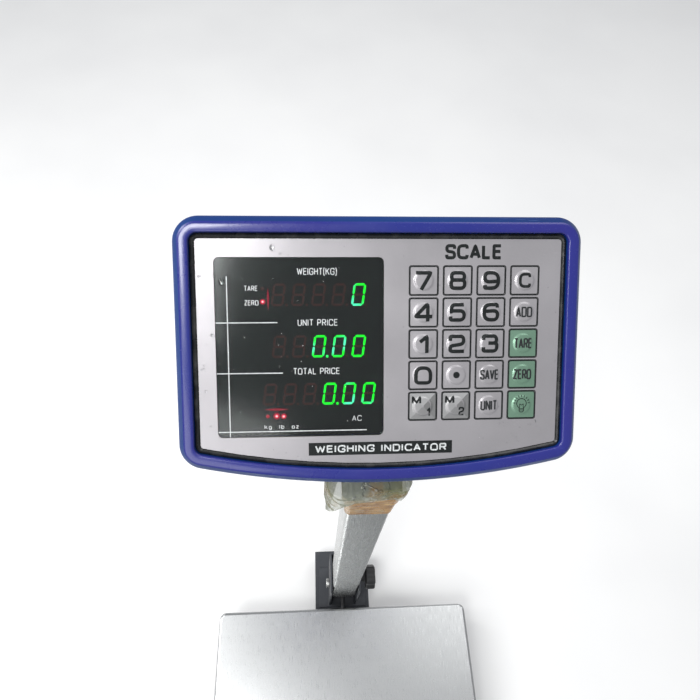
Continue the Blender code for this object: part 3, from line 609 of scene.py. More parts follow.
def clear_film():
    """Crumpled clear film: the tape and steel show through it in patches, its darker olive patches are painted
    shade, and its whitish patches and folds carry painted highlights.
    """
    f = Finish("clear_film", (0.34, 0.36, 0.28), 0.2, alpha=0.70, ior=1.5)
    # Olive patches are painted shade; brown patches stand for the tape showing through.
    f.mottle(34, 3, 0.44, 0.68, (0.21, 0.22, 0.10)).mottle(50, 3, 0.50, 0.68, (0.38, 0.26, 0.11))
    # Whitish patches are painted highlights.
    f.mottle(90, 5, 0.56, 0.70, (0.62, 0.64, 0.57), (1, 1, 0.45))
    waves = f.noise(52, 4, (1, 1, 0.7))
    folds = f.times(f.band(waves, 0.47, 0.5), f.band(waves, 0.53, 0.5))
    # A painted highlight along the folds, which also bump the surface below.
    f.tint(f.times(folds, f.band(f.noise(70, 2), 0.42, 0.6)), (0.66, 0.68, 0.60))
    return f.gloss(140, 4, 0.10, 0.36).bump(folds, 0.7).relief(150, 5, 0.6, rough=0.7).material


def see_through(name, colour, roughness, gloss, relief, **sockets):
    return Finish(name, colour, roughness, **sockets).gloss(*gloss).relief(*relief).material


def glow(name, colour, strength, hot=None):
    """A lit LED segment or lamp, a little hotter in places, or the faint painted glow given to an unlit one for
    the light it reflects.
    """
    f = Finish(name, shade(colour, 0.3), 0.4)
    f.set("Emission Color", (*colour, 1))
    f.set("Emission Strength", strength)
    if hot:
        mix = f.node("ShaderNodeMix", data_type="RGBA")
        f.link(f.band(f.noise(75, 1), 0.5, 0.66), mix.inputs[0])
        mix.inputs[6].default_value = (*colour, 1)
        mix.inputs[7].default_value = (*hot, 1)
        f.link(mix.outputs[2], f.shader.inputs["Emission Color"])
    return f.gloss(200, 2, 0.35, 0.5).relief(800, 2, 0.01).material


MAT = {
    "blue": blue(
        "blue_plastic", (0.009, 0.017, 0.19), 0.26, (0.016, 0.016, 0.19), (0.12, 0.14, 0.40),
        (0.10, 0.13, 0.42), (0.20, 0.36), ior=1.5, coat_weight=0.5, coat_roughness=0.12,
    ),
    # The bezel's sloping side: the same blue plastic, its colour made darker and greener as painted shade.
    "blue_painted_shade": blue(
        "blue_painted_shade", (0.004, 0.034, 0.165), 0.42, (0.004, 0.028, 0.145), (0.05, 0.12, 0.30),
        (0.06, 0.12, 0.32), (0.36, 0.5), ior=1.3,
    ),
    "silver": silver("silver_panel", (0.42, 0.405, 0.42)),
    "green": silver("green_key", (0.20, 0.34, 0.245)),
    "facet_top": silver("facet_top", (0.46, 0.46, 0.46)),
    "facet_right": silver("facet_right", (0.24, 0.24, 0.24)),
    "facet_bottom": silver("facet_bottom", (0.30, 0.30, 0.30)),
    "facet_left": silver("facet_left", (0.40, 0.40, 0.40)),
    "ink": ink("black_ink", (0.010, 0.012, 0.012)),
    "soft_ink": ink("soft_ink", (0.022, 0.024, 0.025)),
    "white_ink": ink("white_ink", (0.50, 0.52, 0.52)),
    "window": see_through(
        "smoked_window", (0.31, 0.37, 0.35), 0.02, (34, 4, 0.01, 0.04, 0.35, 0.75), (16, 2, 0.02),
        transmission_weight=1.0, ior=1.1, coat_weight=1.0, coat_roughness=0.13, coat_ior=1.5,
    ),
    "fluid": see_through(
        "level_fluid", (0.55, 0.80, 0.10), 0.05, (80, 2, 0.03, 0.08), (120, 2, 0.01),
        transmission_weight=0.6, ior=1.4,
    ),
    "water": see_through(
        "water", (0.97, 0.98, 0.98), 0.03, (300, 2, 0.01, 0.06), (700, 2, 0.01),
        transmission_weight=1.0, ior=1.33,
    ),
    "rubber": Finish("black_rubber", (0.013, 0.013, 0.013), 0.6)
    .mottle(60, 4, 0.45, 0.75, (0.035, 0.034, 0.032)).gloss(90, 3, 0.5, 0.75).relief(1400, 3, 0.04).material,
    "gasket": Finish("gasket_rubber", (0.010, 0.011, 0.011), 0.22)
    .mottle(90, 4, 0.5, 0.8, (0.05, 0.05, 0.048)).gloss(120, 3, 0.16, 0.34).relief(300, 3, 0.03).material,
    "black": Finish("black_plastic", (0.016, 0.016, 0.017), 0.42)
    .mottle(40, 4, 0.5, 0.8, (0.030, 0.030, 0.031)).gloss(50, 3, 0.34, 0.52).relief(1900, 2, 0.03)
    .edges((0.09, 0.09, 0.09), 0.5).material,
    "column_steel": brushed("column_steel", (0.50, 0.51, 0.50), (26, 26, 1), 0.2, 0.36),
    "deck_steel": brushed("deck_steel", (0.60, 0.61, 0.61), (26, 1, 26), 0.24, 0.4),
    "zinc": Finish("zinc_steel", (0.60, 0.60, 0.58), 0.34, 1.0)
    .mottle(120, 4, 0.4, 0.7, (0.46, 0.46, 0.45)).gloss(200, 3, 0.24, 0.46).relief(900, 3, 0.02).material,
    "paint": Finish("frame_paint", (0.032, 0.036, 0.044), 0.5)
    .mottle(30, 4, 0.5, 0.8, (0.050, 0.053, 0.060)).edges((0.20, 0.20, 0.20), 1.0)
    .scratches((0.12, 0.12, 0.13), (10, 50, 20), 0.71).gloss(70, 3, 0.4, 0.6).relief(1100, 2, 0.06).material,
    "aluminium": Finish("cell_aluminium", (0.70, 0.71, 0.72), 0.34, 1.0)
    .mottle(40, 3, 0.4, 0.7, (0.56, 0.57, 0.58), (1, 22, 1)).gloss(70, 3, 0.24, 0.42, stretch=(1, 22, 1))
    .relief(500, 3, 0.012, stretch=(1, 8, 1)).material,
    "board": circuit_board(),
    "battery": Finish("battery_case", (0.09, 0.10, 0.11), 0.5)
    .mottle(50, 4, 0.5, 0.8, (0.14, 0.15, 0.16)).gloss(80, 3, 0.4, 0.6).relief(1200, 3, 0.04).material,
    "tape": packing_tape(),
    "film": clear_film(),
    "cable": Finish("cable_sheath", (0.08, 0.08, 0.083), 0.5)
    .mottle(120, 4, 0.5, 0.8, (0.13, 0.13, 0.13)).gloss(150, 3, 0.4, 0.6).relief(1500, 2, 0.02).material,
    "red": Finish("red_plastic", (0.45, 0.015, 0.012), 0.28)
    .mottle(60, 4, 0.5, 0.8, (0.36, 0.012, 0.010)).gloss(90, 3, 0.2, 0.36).relief(900, 2, 0.012).material,
    "lit_green": glow("lit_green", (0.0, 1.0, 0.02), 3.6, (0.10, 1.0, 0.55)),
    "lit_red": glow("lit_red", (1.0, 0.02, 0.07), 3.4),
    "lit_white": glow("lit_white", (1.0, 0.45, 0.50), 6.0),
    "half_red": glow("half_red", (0.75, 0.015, 0.05), 1.6),
    "red_halo": glow("red_halo", (0.8, 0.0, 0.05), 1.1),
    # Unlit segments and lamps: a faint painted glow that stands in for the light they reflect, since they emit
    # none.
    "unlit": glow("unlit_segment_painted_glow", (0.30, 0.060, 0.050), 0.30),
}

# CAD nodes that stay, by finish, each with its bevel in millimetres
REFINISHED = {
    "blue": {"rear_housing": 0.6, "battery_cover": 0.4, "neck_block": 0.6},
    "silver": {"front_panel": 0},
    "window": {"display_window": 0},
    "red": {"power_switch": 0.5},
    "black": {
        "power_inlet": 0.3, "lock_knob": 0.5, "level_housing": 0.3,
        "weight_display": 0, "unit_price_display": 0, "total_price_display": 0,
    },
    "column_steel": {"column_tube": 0.25},
    "deck_steel": {"deck_pan": 0.3},
    "zinc": {"tilt_bracket": 0.4, "tilt_bolt": 0.3, "fold_bolt": 0.4, "transformer": 0.6},
    "paint": {"column_bracket": 0.7, "lower_frame": 1.2, "upper_frame": 1.0},
    "aluminium": {"load_cell": 0.4},
    "rubber": {f"deck_pad_{y}_{x}": 0.4 for y in ("front", "rear") for x in ("left", "right")},
    "fluid": {"level_vial": 0.2},
    "cable": {"load_cell_cable": 0, "column_cable": 0},
    "board": {"main_board": 0, "keypad_board": 0},
    "battery": {"battery": 0.6},
}
# Bevels start at 30 degrees, and later on these nodes' round surfaces
BEVEL_ANGLES = {"rear_housing": 40, "lock_knob": 40, "column_tube": 60}


# Head shells ----


def head_shells():
    """Bezel with its crease between the front face and the matter side, whose darker, greener blue is painted
    shade, and the gasket in its groove.
    """
    face = smooth_profile([(3.6, 1.2), (3.8, 2.5), (4.6, 3.05), (6.6, 3.25), (8.8, 3.2), (10.2, 2.85)], 5)
    slope = [(10.2, 2.85), (11.6, 1.1), (13.0, -0.8), (14.1, -2.8), (14.5, -5.2), (14.5, -8)]
    back = [(14.5, -22), (12, -22), (12, -8), (9.5, -5), (-4, -5), (-4, -2.3), (3.6, -2.3)]
    bezel = swept_ring([*face, *smooth_profile(slope, 5)[1:], *back], head_outline)
    around = len(head_outline(0))
    # Faces past the front face take the second finish, the same blue with painted shade.
    for number, polygon in enumerate(bezel.faces):
        polygon.material_index = int(number // around >= len(face) - 1)
    finishes = ("blue", "blue_painted_shade")
    piece("bezel", bezel, finishes, "head", replaces=["front_bezel"], sharp=24)
    ring = [(0.3, -2.0), (0.3, -0.6), (0.8, -0.1), (1.7, 0.4), (2.7, 0.1), (3.3, -0.4), (3.3, -2.0)]
    gasket = swept_ring(ring, head_outline)
    piece("gasket", gasket, "gasket", "head", replaces=["panel_gasket"])


def rear_screws():
    """Socket-head screws that hold the rear shell."""
    back = panel_box("battery_cover")[0].z + 1
    head = [(0, 1), (1.5, 1), (1.5, -0.45), (2.4, -0.4), (3.3, -0.1), (3.6, 0.5), (3.6, 1.4), (0, 1.4)]
    places = [(x, y) for x in (-99, 99) for y in (46, -48)] + [(0, 50), (8, -50)]
    screws = [moved(turned(head, 32), x, y, back) for x, y in places]
    piece("rear_screws", joined(screws), "zinc", "head")


def rating_plate():
    """Label on the back of the head, facing backwards, its ruled lines left blank."""
    back = panel_box("battery_cover")[0].z + 1
    turn = Matrix.Rotation(math.pi, 4, "Y")
    label = plate(rounded_rectangle(46, 26, 1.5), 0, 0.12)
    rules = [stroke([(-19, 2.5 - 4.2 * i), (19, 2.5 - 4.2 * i)], 0.35, step=50, across=1) for i in range(4)]
    ink_parts = layered([moved(word("PLATFORM SCALE", 3.2, 36, 0.5), 0, 7.6), *rules])
    thicken(ink_parts, INK)
    moved(ink_parts, z=0.13)
    for bm, name, finish, slot in (
        (label, "rating_plate", "silver", "silver_panel"),
        (ink_parts, "rating_print", "ink", SCREEN),
    ):
        bm.transform(turn)
        piece(name, moved(bm, 14, 8, back), finish, "head", smooth=False)


# Keys ----


def dome(radius):
    """Height of a key's face at that distance from its middle: flat, then a raised dome."""
    if radius >= KEY_DOME:
        return 0.0
    rim = min(1.0, (KEY_DOME - radius) / 1.7)
    rim = rim * rim * (3 - 2 * rim)
    crown = math.sqrt(max(0.0, 1 - (radius / KEY_DOME) ** 2))
    return KEY_DOME_HEIGHT * rim * (0.62 + 0.38 * crown)


def key_cap():
    """High-resolution cap with the CAD key's flange and stem."""
    sides = 64
    directions = [(math.cos(math.tau * i / sides), math.sin(math.tau * i / sides)) for i in range(sides)]

    def square(half, radius, z):
        loop = []
        for x, y in directions:
            reach = half / max(abs(x), abs(y))
            px, py = x * reach, y * reach
            corner = half - radius
            if abs(px) > corner and abs(py) > corner:
                cx, cy = math.copysign(corner, px), math.copysign(corner, py)
                away = Vector((px - cx, py - cy)).normalized() * radius
                px, py = cx + away.x, cy + away.y
            loop.append((px, py, z))
        return loop

    def disc(radius, z):
        return [(radius * x, radius * y, z) for x, y in directions]

    half = KEY_FLAT / 2
    loops = [disc(3, -4.8), disc(3, -3.6), square(9.7, 1.5, -3.6), square(9.7, 1.5, -2.5)]
    loops += [square(half, 1.3, -2.5), square(half, 1.3, -0.12), square(half - 0.12, 1.2, 0)]
    radii = [KEY_DOME * (1 - i / 18) for i in range(18)]
    loops += [disc(r, dome(r)) for r in radii]
    return loft(loops)


# Numerals, written as the letters are
NUMERALS = {
    "0": "50,0 -3,0 -3,100 105,100 105,0 50,0",
    "1": "24,64 76,100 76,-9",
    "2": "0,70 0,100 100,100 100,50 0,36 0,0 106,0",
    "3": "0,74 0,100 97,100 97,53 36,53/60,53 100,53 100,0 0,0 0,26",
    "4": "114,24 -10,24 70,100 80,100 80,-9",
    "5": "98,100 8,100 3,50 10,60 100,60 100,0 0,0 0,24",
    "6": "98,80 98,100 0,100 0,0 100,0 100,60 5,56",
    "7": "-8,100 100,100 30,-9",
    "8": "50,53 3,53 3,100 97,100 97,53 50,53/50,53 0,53 0,0 100,0 100,53 50,53",
    "9": "2,20 2,0 100,0 100,100 0,100 0,40 95,44",
}
NUMERAL_RADII = {"1": 0.0, "4": 0.9, "7": 0.0}


def numeral(character, width, height, line):
    """A numeral of the squared, wide kind that fills a box of that size."""
    inner_width, inner_height = width - line, height - line
    radius = NUMERAL_RADII.get(character, 4.4) * height / 12
    sheets = []
    for path in strokes(NUMERALS[character]):
        spots = [((x - 0.5) * inner_width, (y - 0.5) * inner_height) for x, y in path]
        sheets.append(stroke(spots, line, radius))
    return layered(sheets)


def lamp_sign():
    """Light-bulb sign: a round bulb with its cap, filament and rays."""
    line, centre = 0.5, 0.9
    bulb = [(3.2 * x, 3.2 * y + centre) for x, y in arc(0, 0, 1, -62, 242, 32)]
    cap = [(-1.5, -1.8), (-1.5, -4.0), (-0.9, -4.8), (0.9, -4.8), (1.5, -4.0), (1.5, -1.8)]
    filament = [(-1.2, -1.9), (-1.2, 0.7), (0, -0.3), (1.2, 0.7), (1.2, -1.9)]
    sheets = [stroke(bulb, line), stroke(cap, line, 0.5), stroke(filament, 0.4, 0.3)]
    sheets += [stroke([(-1.5, y), (1.5, y)], 0.4) for y in (-2.6, -3.5)]
    for i in range(9):
        angle = math.radians(4 + i * 21.5)
        ray = [(r * math.cos(angle), r * math.sin(angle) + centre) for r in (4.2, 5.6)]
        sheets.append(stroke(ray, line))
    return layered(sheets)


# How each worded key reads, and the height, width and stroke of its word
WORDS = {
    "key_clear": ("C", 9.6, 8.0, 1.8),
    "key_add": ("ADD", 6.8, 10.8, 1.05),
    "key_tare": ("TARE", 6.8, 12.1, 1.05),
    "key_save": ("SAVE", 6.8, 12.3, 1.1),
    "key_zero": ("ZERO", 6.8, 12.1, 1.1),
    "key_unit": ("UNIT", 6.8, 11.2, 1.05),
}


def key_sign(name):
    """The ink sign of one key, still flat."""
    if name in WORDS:
        return word(*WORDS[name])
    if name == "key_point":
        return turned([(0, 0), (0.7, 0), (1.4, 0), (2.15, 0)], 36)
    if name == "key_light":
        return lamp_sign()
    if name.startswith("key_memory"):
        letter = moved(word("M", 5.4, 6.1, 1.35), -4.1, 4.1)
        return joined([letter, moved(numeral(name[-1], 3.9, 5.8, 1.15), 3.7, -3.6)])
    return numeral(name[-1], 11.1, 12.1, 2.35)


def draped(bm):
    """Lays flat ink on a key's domed face."""
    thicken(bm, INK)
    for v in bm.verts:
        v.co.z += dome(math.hypot(v.co.x, v.co.y))
    return bm


def memory_facets():
    """Four printed facets that make the memory keys look like cut pyramids."""
    half, cells = KEY_FLAT / 2 - 0.45, 14
    corners = [(-half, half), (half, half), (half, -half), (-half, -half)]
    bm = bmesh.new()
    for index, (a, b) in enumerate(zip(corners, corners[1:] + corners[:1])):
        rows = []
        for i in range(cells):
            start, end = Vector(a) * (1 - i / cells), Vector(b) * (1 - i / cells)
            rows.append([bm.verts.new((*start.lerp(end, j / cells), 0)) for j in range(cells + 1)])
        for face in strips(bm, rows, closed=False):
            face.material_index = index
    thicken(bm, 0.01)
    for v in bm.verts:
        v.co.z += dome(math.hypot(v.co.x, v.co.y)) + 0.01
    return bm


def keypad():
    names = sorted(name for name in NODES if f"{name}_press" in JOINTS)
    outlines = []
    for name in names:
        x, y = panel_centre(name)
        green = name in ("key_tare", "key_zero", "key_light")
        finish, slot = ("green", "green_key") if green else ("silver", "silver_panel")
        piece(f"cap_{name}", moved(key_cap(), x, y), finish, name, replaces=[name], sharp=28)
        printed(f"edge_{name}", frame_line(KEY_FLAT, 1.3, 0.5), "ink", name, x, y)
        shade = "soft_ink" if name in WORDS and name != "key_clear" else "ink"
        sign = moved(draped(key_sign(name)), x, y, 0.03)
        piece(f"sign_{name}", sign, shade, name, smooth=False)
        if name.startswith("key_memory"):
            facets = moved(memory_facets(), x, y)
            finishes = ("facet_top", "facet_right", "facet_bottom", "facet_left")
            piece(f"facets_{name}", facets, finishes, name, smooth=False)
        outlines.append(moved(frame_line(KEY_OUTLINE, 1.6, 0.46), x, y))
    printed("key_outlines", joined(outlines))


# Display ----


def digit_segments(width=8.0, height=14.2, line=1.35, gap=0.18, slant=0.14):
    """The seven segments of one leaning digit: a at the top, clockwise to f, and g in the middle."""
    half, top, bevel = width / 2 - line / 2, height / 2 - line / 2, line / 2

    def along(x0, x1, y):
        x0, x1 = x0 + gap, x1 - gap
        upper = [(x0, y), (x0 + bevel, y + bevel), (x1 - bevel, y + bevel), (x1, y)]
        return [*upper, (x1 - bevel, y - bevel), (x0 + bevel, y - bevel)]

    def upright(x, y0, y1):
        return [(across, up) for up, across in along(y0, y1, x)]

    shapes = {
        "a": along(-half, half, top),
        "b": upright(half, 0, top),
        "c": upright(half, -top, 0),
        "d": along(-half, half, -top),
        "e": upright(-half, -top, 0),
        "f": upright(-half, 0, top),
        "g": along(-half, half, 0),
    }
    leaning = {letter: [(x + y * slant, y) for x, y in points] for letter, points in shapes.items()}
    return {letter: plate(outline, 0, SEGMENT_DEPTH) for letter, outline in leaning.items()}


def decimal_point():
    return plate(arc(5.1, -6.45, 0.85, 0, 360, 20)[:-1], 0, SEGMENT_DEPTH)


# What each row shows, one place a digit
READINGS = {"weight_display": "    0", "unit_price_display": "  0.00", "total_price_display": "   0.00"}
ZERO = "abcdef"


def display():
    """Segments of the three rows, with the rows' readings lit, on a dark backing behind the window."""
    low, high = panel_box("display_window")
    middle = ((low.x + high.x) / 2, (low.y + high.y) / 2)
    backing = rounded_rectangle(high.x - low.x - 1, high.y - low.y - 1, 3, 6, middle)
    face = panel_box("weight_display")[1].z
    piece("display_backing", plate(backing, face + 0.02, face + 0.14), "black")
    lit, unlit = [], []
    for node, reading in READINGS.items():
        box_low, box_high = panel_box(node)
        cells = [c for c in reading if c != "."]
        pitch = (box_high.x - box_low.x) / len(cells)
        y = (box_low.y + box_high.y) / 2
        pointed = reading.find(".") - 1
        for index, character in enumerate(cells):
            x = box_low.x + pitch * (index + 0.5)
            for letter, bm in digit_segments().items():
                place = lit if character == "0" and letter in ZERO else unlit
                place.append(moved(bm, x, y, face + 0.16))
            place = lit if index == pointed else unlit
            place.append(moved(decimal_point(), x, y, face + 0.16))
    piece("lit_segments", joined(lit), "lit_green", smooth=False)
    # The unlit segments glow faintly: painted light for what they reflect.
    piece("unlit_segments", joined(unlit), "unlit", smooth=False)
    lamps(face + 0.16)
    window_print(high)


def lamp(x, y, level, radius=1.2):
    cap = [(0, 0), (radius, 0), (radius, 0.2), (radius * 0.7, 0.42), (0, 0.5)]
    return moved(turned(cap, 28), x, y, level)


def streak(x, y, width, height, level):
    """Lens-shaped glow beside a lamp, pointed at the ends of its long side."""
    angles = [math.tau * (i + 0.5) / 40 for i in range(40)]
    fine = (3, 1) if height > width else (1, 3)
    outline = [(width / 2 * math.cos(a) ** fine[0], height / 2 * math.sin(a) ** fine[1]) for a in angles]
    return moved(plate(outline, 0, 0.05), x, y, level)


def lamps(level):
    """Status lamps: zero and the unit lamps are lit, and their light catches the mask beside them."""
    y = panel_centre("weight_display")[1]
    left = panel_box("weight_display")[0].x - 3.6
    bottom = panel_box("total_price_display")[0].y - 4.8
    zero, tare = (left, y - 4.3), (left, y + 3.9)
    units = [(left + 1.9, bottom), (left + 7.6, bottom + 0.1), (left + 12.1, bottom - 0.1)]
    lit = [lamp(*spot, level) for spot in (zero, *units[1:])]
    hot = [lamp(*spot, level + 0.1, 0.75) for spot in (zero, *units[1:])]
    glow_round = [
        moved(turned([(0, 0), (radius, 0), (radius, 0.05), (0, 0.05)], 28), *spot, level - 0.02)
        for spot, radius in ((zero, 1.8), (units[1], 2.3), (units[2], 1.9))
    ]
    glow_round += [
        streak(left + 3.4, y - 2.6, 1.3, 15, level - 0.05),
        streak(left + 7.6, bottom + 4.4, 17, 1.5, level - 0.05),
    ]
    piece("lit_lamps", joined(lit), "lit_red")
    piece("lamp_cores", joined(hot), "lit_white")
    piece("lamp_glow", joined(glow_round), "red_halo", smooth=False)
    piece("left_unit_lamp", lamp(*units[0], level), "half_red")
    # The tare lamp is unlit; its faint glow is painted light for what it reflects.
    piece("tare_lamp", lamp(*tare, level), "unlit")


def window_print(high):
    """White lines and labels on the front of the window."""
    left, bottom, _ = panel_box("display_window")[0]
    x1, y1 = panel_centre("weight_display")
    y2 = panel_centre("unit_price_display")[1]
    y3 = panel_centre("total_price_display")[1]
    rule = left + 7.5
    lines = [
        [(rule, high.y - 11.5), (rule, bottom + 0.1)],
        [(left, y2 + 15.5), (left + 38.5, y2 + 15.5)],
        [(left, y3 + 14.2), (left + 41.5, y3 + 14.2)],
        [(left, y3 - 23.6), (left + 95, y3 - 23.6)],
    ]
    sheets = [stroke(line, 0.65, step=50, across=1) for line in lines]
    labels = [
        ("WEIGHT(KG)", 4.3, 25.0, 0.52, x1 - 1.0, y1 + 14.5),
        ("UNIT PRICE", 4.2, 25.3, 0.52, x1 - 0.8, y2 + 15.4),
        ("TOTAL PRICE", 4.2, 29.6, 0.52, x1 - 1.8, y3 + 15.2),
        ("TARE", 3.3, 8.4, 0.45, left + 22.4, y1 + 4.1),
        ("ZERO", 3.3, 8.8, 0.45, left + 22.6, y1 - 4.9),
        ("AC", 3.6, 6.2, 0.4, left + 88.6, y3 - 15.8),
        ("kg  lb  oz", 2.7, 22.0, 0.42, left + 40.2, y3 - 20.6),
    ]
    sheets += [moved(word(text, h, w, line), x, y) for text, h, w, line, x, y in labels]
    printed("window_print", joined(sheets), "white_ink", z=high.z + 0.01)


def panel_print():
    """Heading over the keys and the black bar under them, with its white words."""
    left, top = panel_centre("key_7")
    printed("heading", moved(word("SCALE", 9.6, 37, 2.05), left + 32, top + 18.1))
    low = panel_box("front_panel")[0].y + 5.7
    high = low + 8.4
    bar = plate([(-47.2, low), (46.8, low), (46.8, high), (-47.2, high)], 0.01, 0.01 + INK)
    piece("name_bar", bar, "ink", smooth=False)
    words = moved(word("WEIGHING INDICATOR", 4.9, 86, 0.95), 0, (low + high) / 2)
    printed("name_words", words, "white_ink", z=0.02 + INK)


def drops():
    """Beads of water on the window and the panel, most of them to the left."""
    rng = random.Random(7)
    low, high = panel_box("display_window")
    left = panel_box("front_panel")[0].x
    beads = []
    for _ in range(46):
        x = low.x + (high.x - low.x) * rng.random() ** 1.8
        beads.append((x, rng.uniform(low.y, high.y), rng.uniform(0.25, 0.75)))
    beads += [(rng.uniform(left + 1, low.x), rng.uniform(-55, 60), rng.uniform(0.4, 1.0)) for _ in range(12)]
    beads += [(rng.uniform(20, 108), rng.uniform(-68, -52), rng.uniform(0.25, 0.6)) for _ in range(18)]
    beads += [(low.x + 4.2, high.y - 15, 1.9), (low.x + 36, high.y + 6, 1.6), (low.x + 41, high.y + 2.2, 1.0)]
    parts = []
    for x, y, radius in beads:
        cap = ((0, 0), (1, 0), (0.86, 0.26), (0.5, 0.46), (0, 0.52))
        bead = turned([(radius * out, radius * up) for out, up in cap], 20)
        bead.transform(Matrix.Diagonal((1, rng.uniform(0.75, 1.35), 1, 1)))
        parts.append(moved(bead, x, y, 0.045))
    piece("water_beads", joined(parts), "water", "head", sharp=60)


# Tape and film ----


def creases(spot, size, seed):
    """Ridged noise, up to 1 along a fold, for crumpled sheet."""
    p = Vector(spot) / size + Vector((seed, seed * 1.7, seed * 0.6))
    folds = 1 - abs(noise.noise(p)) * 2
    fine = 1 - abs(noise.noise(p * 2.3 + Vector((5, 3, 1)))) * 2
    return 0.68 * folds + 0.32 * fine


def reading(z, curve):
    """Value at z of a curve given as (z, value) points."""
    for (z0, v0), (z1, v1) in zip(curve, curve[1:]):
        if z <= z1:
            return v0 + (v1 - v0) * max(0.0, (z - z0) / (z1 - z0))
    return curve[-1][1]


def sleeve(low, high, offset, around=240, along=48):
    """A sheet round the square tube, and its upper row of points.

    Its lower and upper edge and how far it stands off the tube are functions of the angle round the tube, and
    the stand-off of the place as well.
    """
    tube_low, tube_high = world_box("column_tube")
    half = (tube_high.x - tube_low.x) / 2
    flat = half - 4
    bm = bmesh.new()
    rows = []
    for j in range(along + 1):
        row = []
        for x, y in rounded_rectangle(2 * half, 2 * half, 4, around // 4 - 1):
            angle = math.atan2(y, x)
            z = low(angle) + (high(angle) - low(angle)) * j / along
            corner = Vector((max(-flat, min(flat, x)), max(-flat, min(flat, y))))
            out = (Vector((x, y)) - corner).normalized()
            spot = Vector((x, y)) + out * offset(angle, z, x, y)
            row.append(bm.verts.new((spot.x, spot.y + FOLD.y, z)))
        rows.append(row)
    strips(bm, rows)
    return bm, rows[-1]


def eased(value, low, high):
    """0 below low, 1 above high and smooth between."""
    share = max(0.0, min(1.0, (value - low) / (high - low)))
    return share * share * (3 - 2 * share)


def facing(angle, direction, low=0.55, high=0.9):
    """1 on the side of the tube that faces right (1) or left (-1), 0 in front and behind."""
    return eased(direction * math.cos(angle), low, high)


def gathered(bm, rim, top, steps, seed):
    """Carries a sleeve's upper edge inwards over the bracket to the head's lug, in pleats."""
    lug_low, lug_high = world_box("neck_block")
    rows = [rim]
    for j in range(1, steps + 1):
        share = j / steps * 0.97
        inner = []
        for vertex in rim:
            x, y, z = vertex.co
            towards = (max(lug_low.x, min(lug_high.x, x)), max(lug_low.y, min(lug_high.y, y)))
            spot = Vector((x, y)).lerp(Vector(towards), share)
            pleat = creases((x, y, j * 0.5), 7, seed) * math.sin(math.pi * share)
            inner.append(bm.verts.new((spot.x, spot.y, z + (top - z) * share + 0.9 * pleat)))
        rows.append(inner)
    strips(bm, rows)


def tape(low, top):
    """Brown tape in overlapping turns round the tube's top, over the bracket's ears."""
    front = [(low, 0.4), (low + 20, 0.7), (top, 1.3)]
    beside = [(low, 0.4), (low + 24, 1.0), (low + 33, 3.3), (top, 3.7)]
    bands = ((0, 28, 0.5), (7, 38, -1.2), (17, 60, 1.5), (29, 60, -0.8))
    for number, (start, end, lean) in enumerate(bands):

        def lower_edge(angle):
            return low + start + lean * math.cos(angle + number) + 0.3 * math.sin(9 * angle + number)

        def upper_edge(angle):
            ears = facing(angle, 1, 0.3, 0.6) + facing(angle, -1, 0.3, 0.6)
            return min(top - 13 * ears, low + end + lean * math.sin(2 * angle + number))

        def stand_off(angle, z, x, y):
            wrinkle = max(0.0, creases((x, y, z * 2.8), 12, number * 3.1 + 1))
            ears = facing(angle, 1) + facing(angle, -1)
            base = reading(z, front) * (1 - ears) + reading(z, beside) * ears
            return base + 0.15 + 0.2 * number + 0.5 * wrinkle

        bm, _ = sleeve(lower_edge, upper_edge, stand_off)
        replaced = ["tape_band"] if number == 0 else ()
        name = f"tape_turn_{number + 1}"
        obj = piece(name, bm, "tape", "column", WORLD, replaced, sharp=60)
        shell = obj.modifiers.new("thickness", "SOLIDIFY")
        shell.thickness = 0.12 * MM
        shell.offset = 0


def film(low, tape_top, top):
    """Crumpled film from the tape up to the head, bagged out to the left."""
    front = [(tape_top - 12, 3.2), (tape_top, 3.8), (top, 3.4)]
    left = [(low - 14, 0.8), (low - 10, 8.0), (low - 3, 13.5), (low + 34, 16.0), (top, 16.0)]
    right = [(low + 20, 3.2), (low + 34, 5.4), (low + 46, 7.0), (top, 7.2)]

    def lower_edge(angle):
        hem = 1.2 * math.sin(5 * angle) + 0.8 * math.sin(11 * angle + 1)
        bag = (tape_top + 9 - low) * eased(-math.cos(angle + 0.12), 0.56, 0.76)
        return tape_top - 3 - bag - 30 * facing(angle, 1) + hem

    def upper_edge(angle):
        return top - 1.2 + 0.5 * math.sin(4 * angle)

    def stand_off(angle, z, x, y):
        to_left, to_right = facing(angle, -1, 0.5, 0.8), facing(angle, 1, 0.5, 0.9)
        base = reading(z, front) * (1 - to_left - to_right)
        base += reading(z, left) * to_left + reading(z, right) * to_right
        hem = eased(z - lower_edge(angle), 0, 6)
        ridge = max(0.0, creases((x, y, z), 15, 7.7)) ** 3
        crumple = 2.8 * ridge + 1.0 * creases((x, y, z), 6, 2.2) - 0.9
        return base + crumple * (0.3 + 0.7 * hem) * (1 - 0.6 * to_right)

    bm, rim = sleeve(lower_edge, upper_edge, stand_off, 320, 80)
    gathered(bm, rim, top, 10, 4.4)
    obj = meshed("film", bm, ["film"], WORLD)
    obj.data.shade_smooth()
    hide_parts("film_wrap")
    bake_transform(obj)


def tape_and_film():
    band_low, band_high = world_box("tape_band")
    tape_top = band_high.z + 9
    tape(band_low.z, tape_top)
    film(band_low.z, tape_top, world_box("neck_block")[1].z - 0.6)


# Feet ----


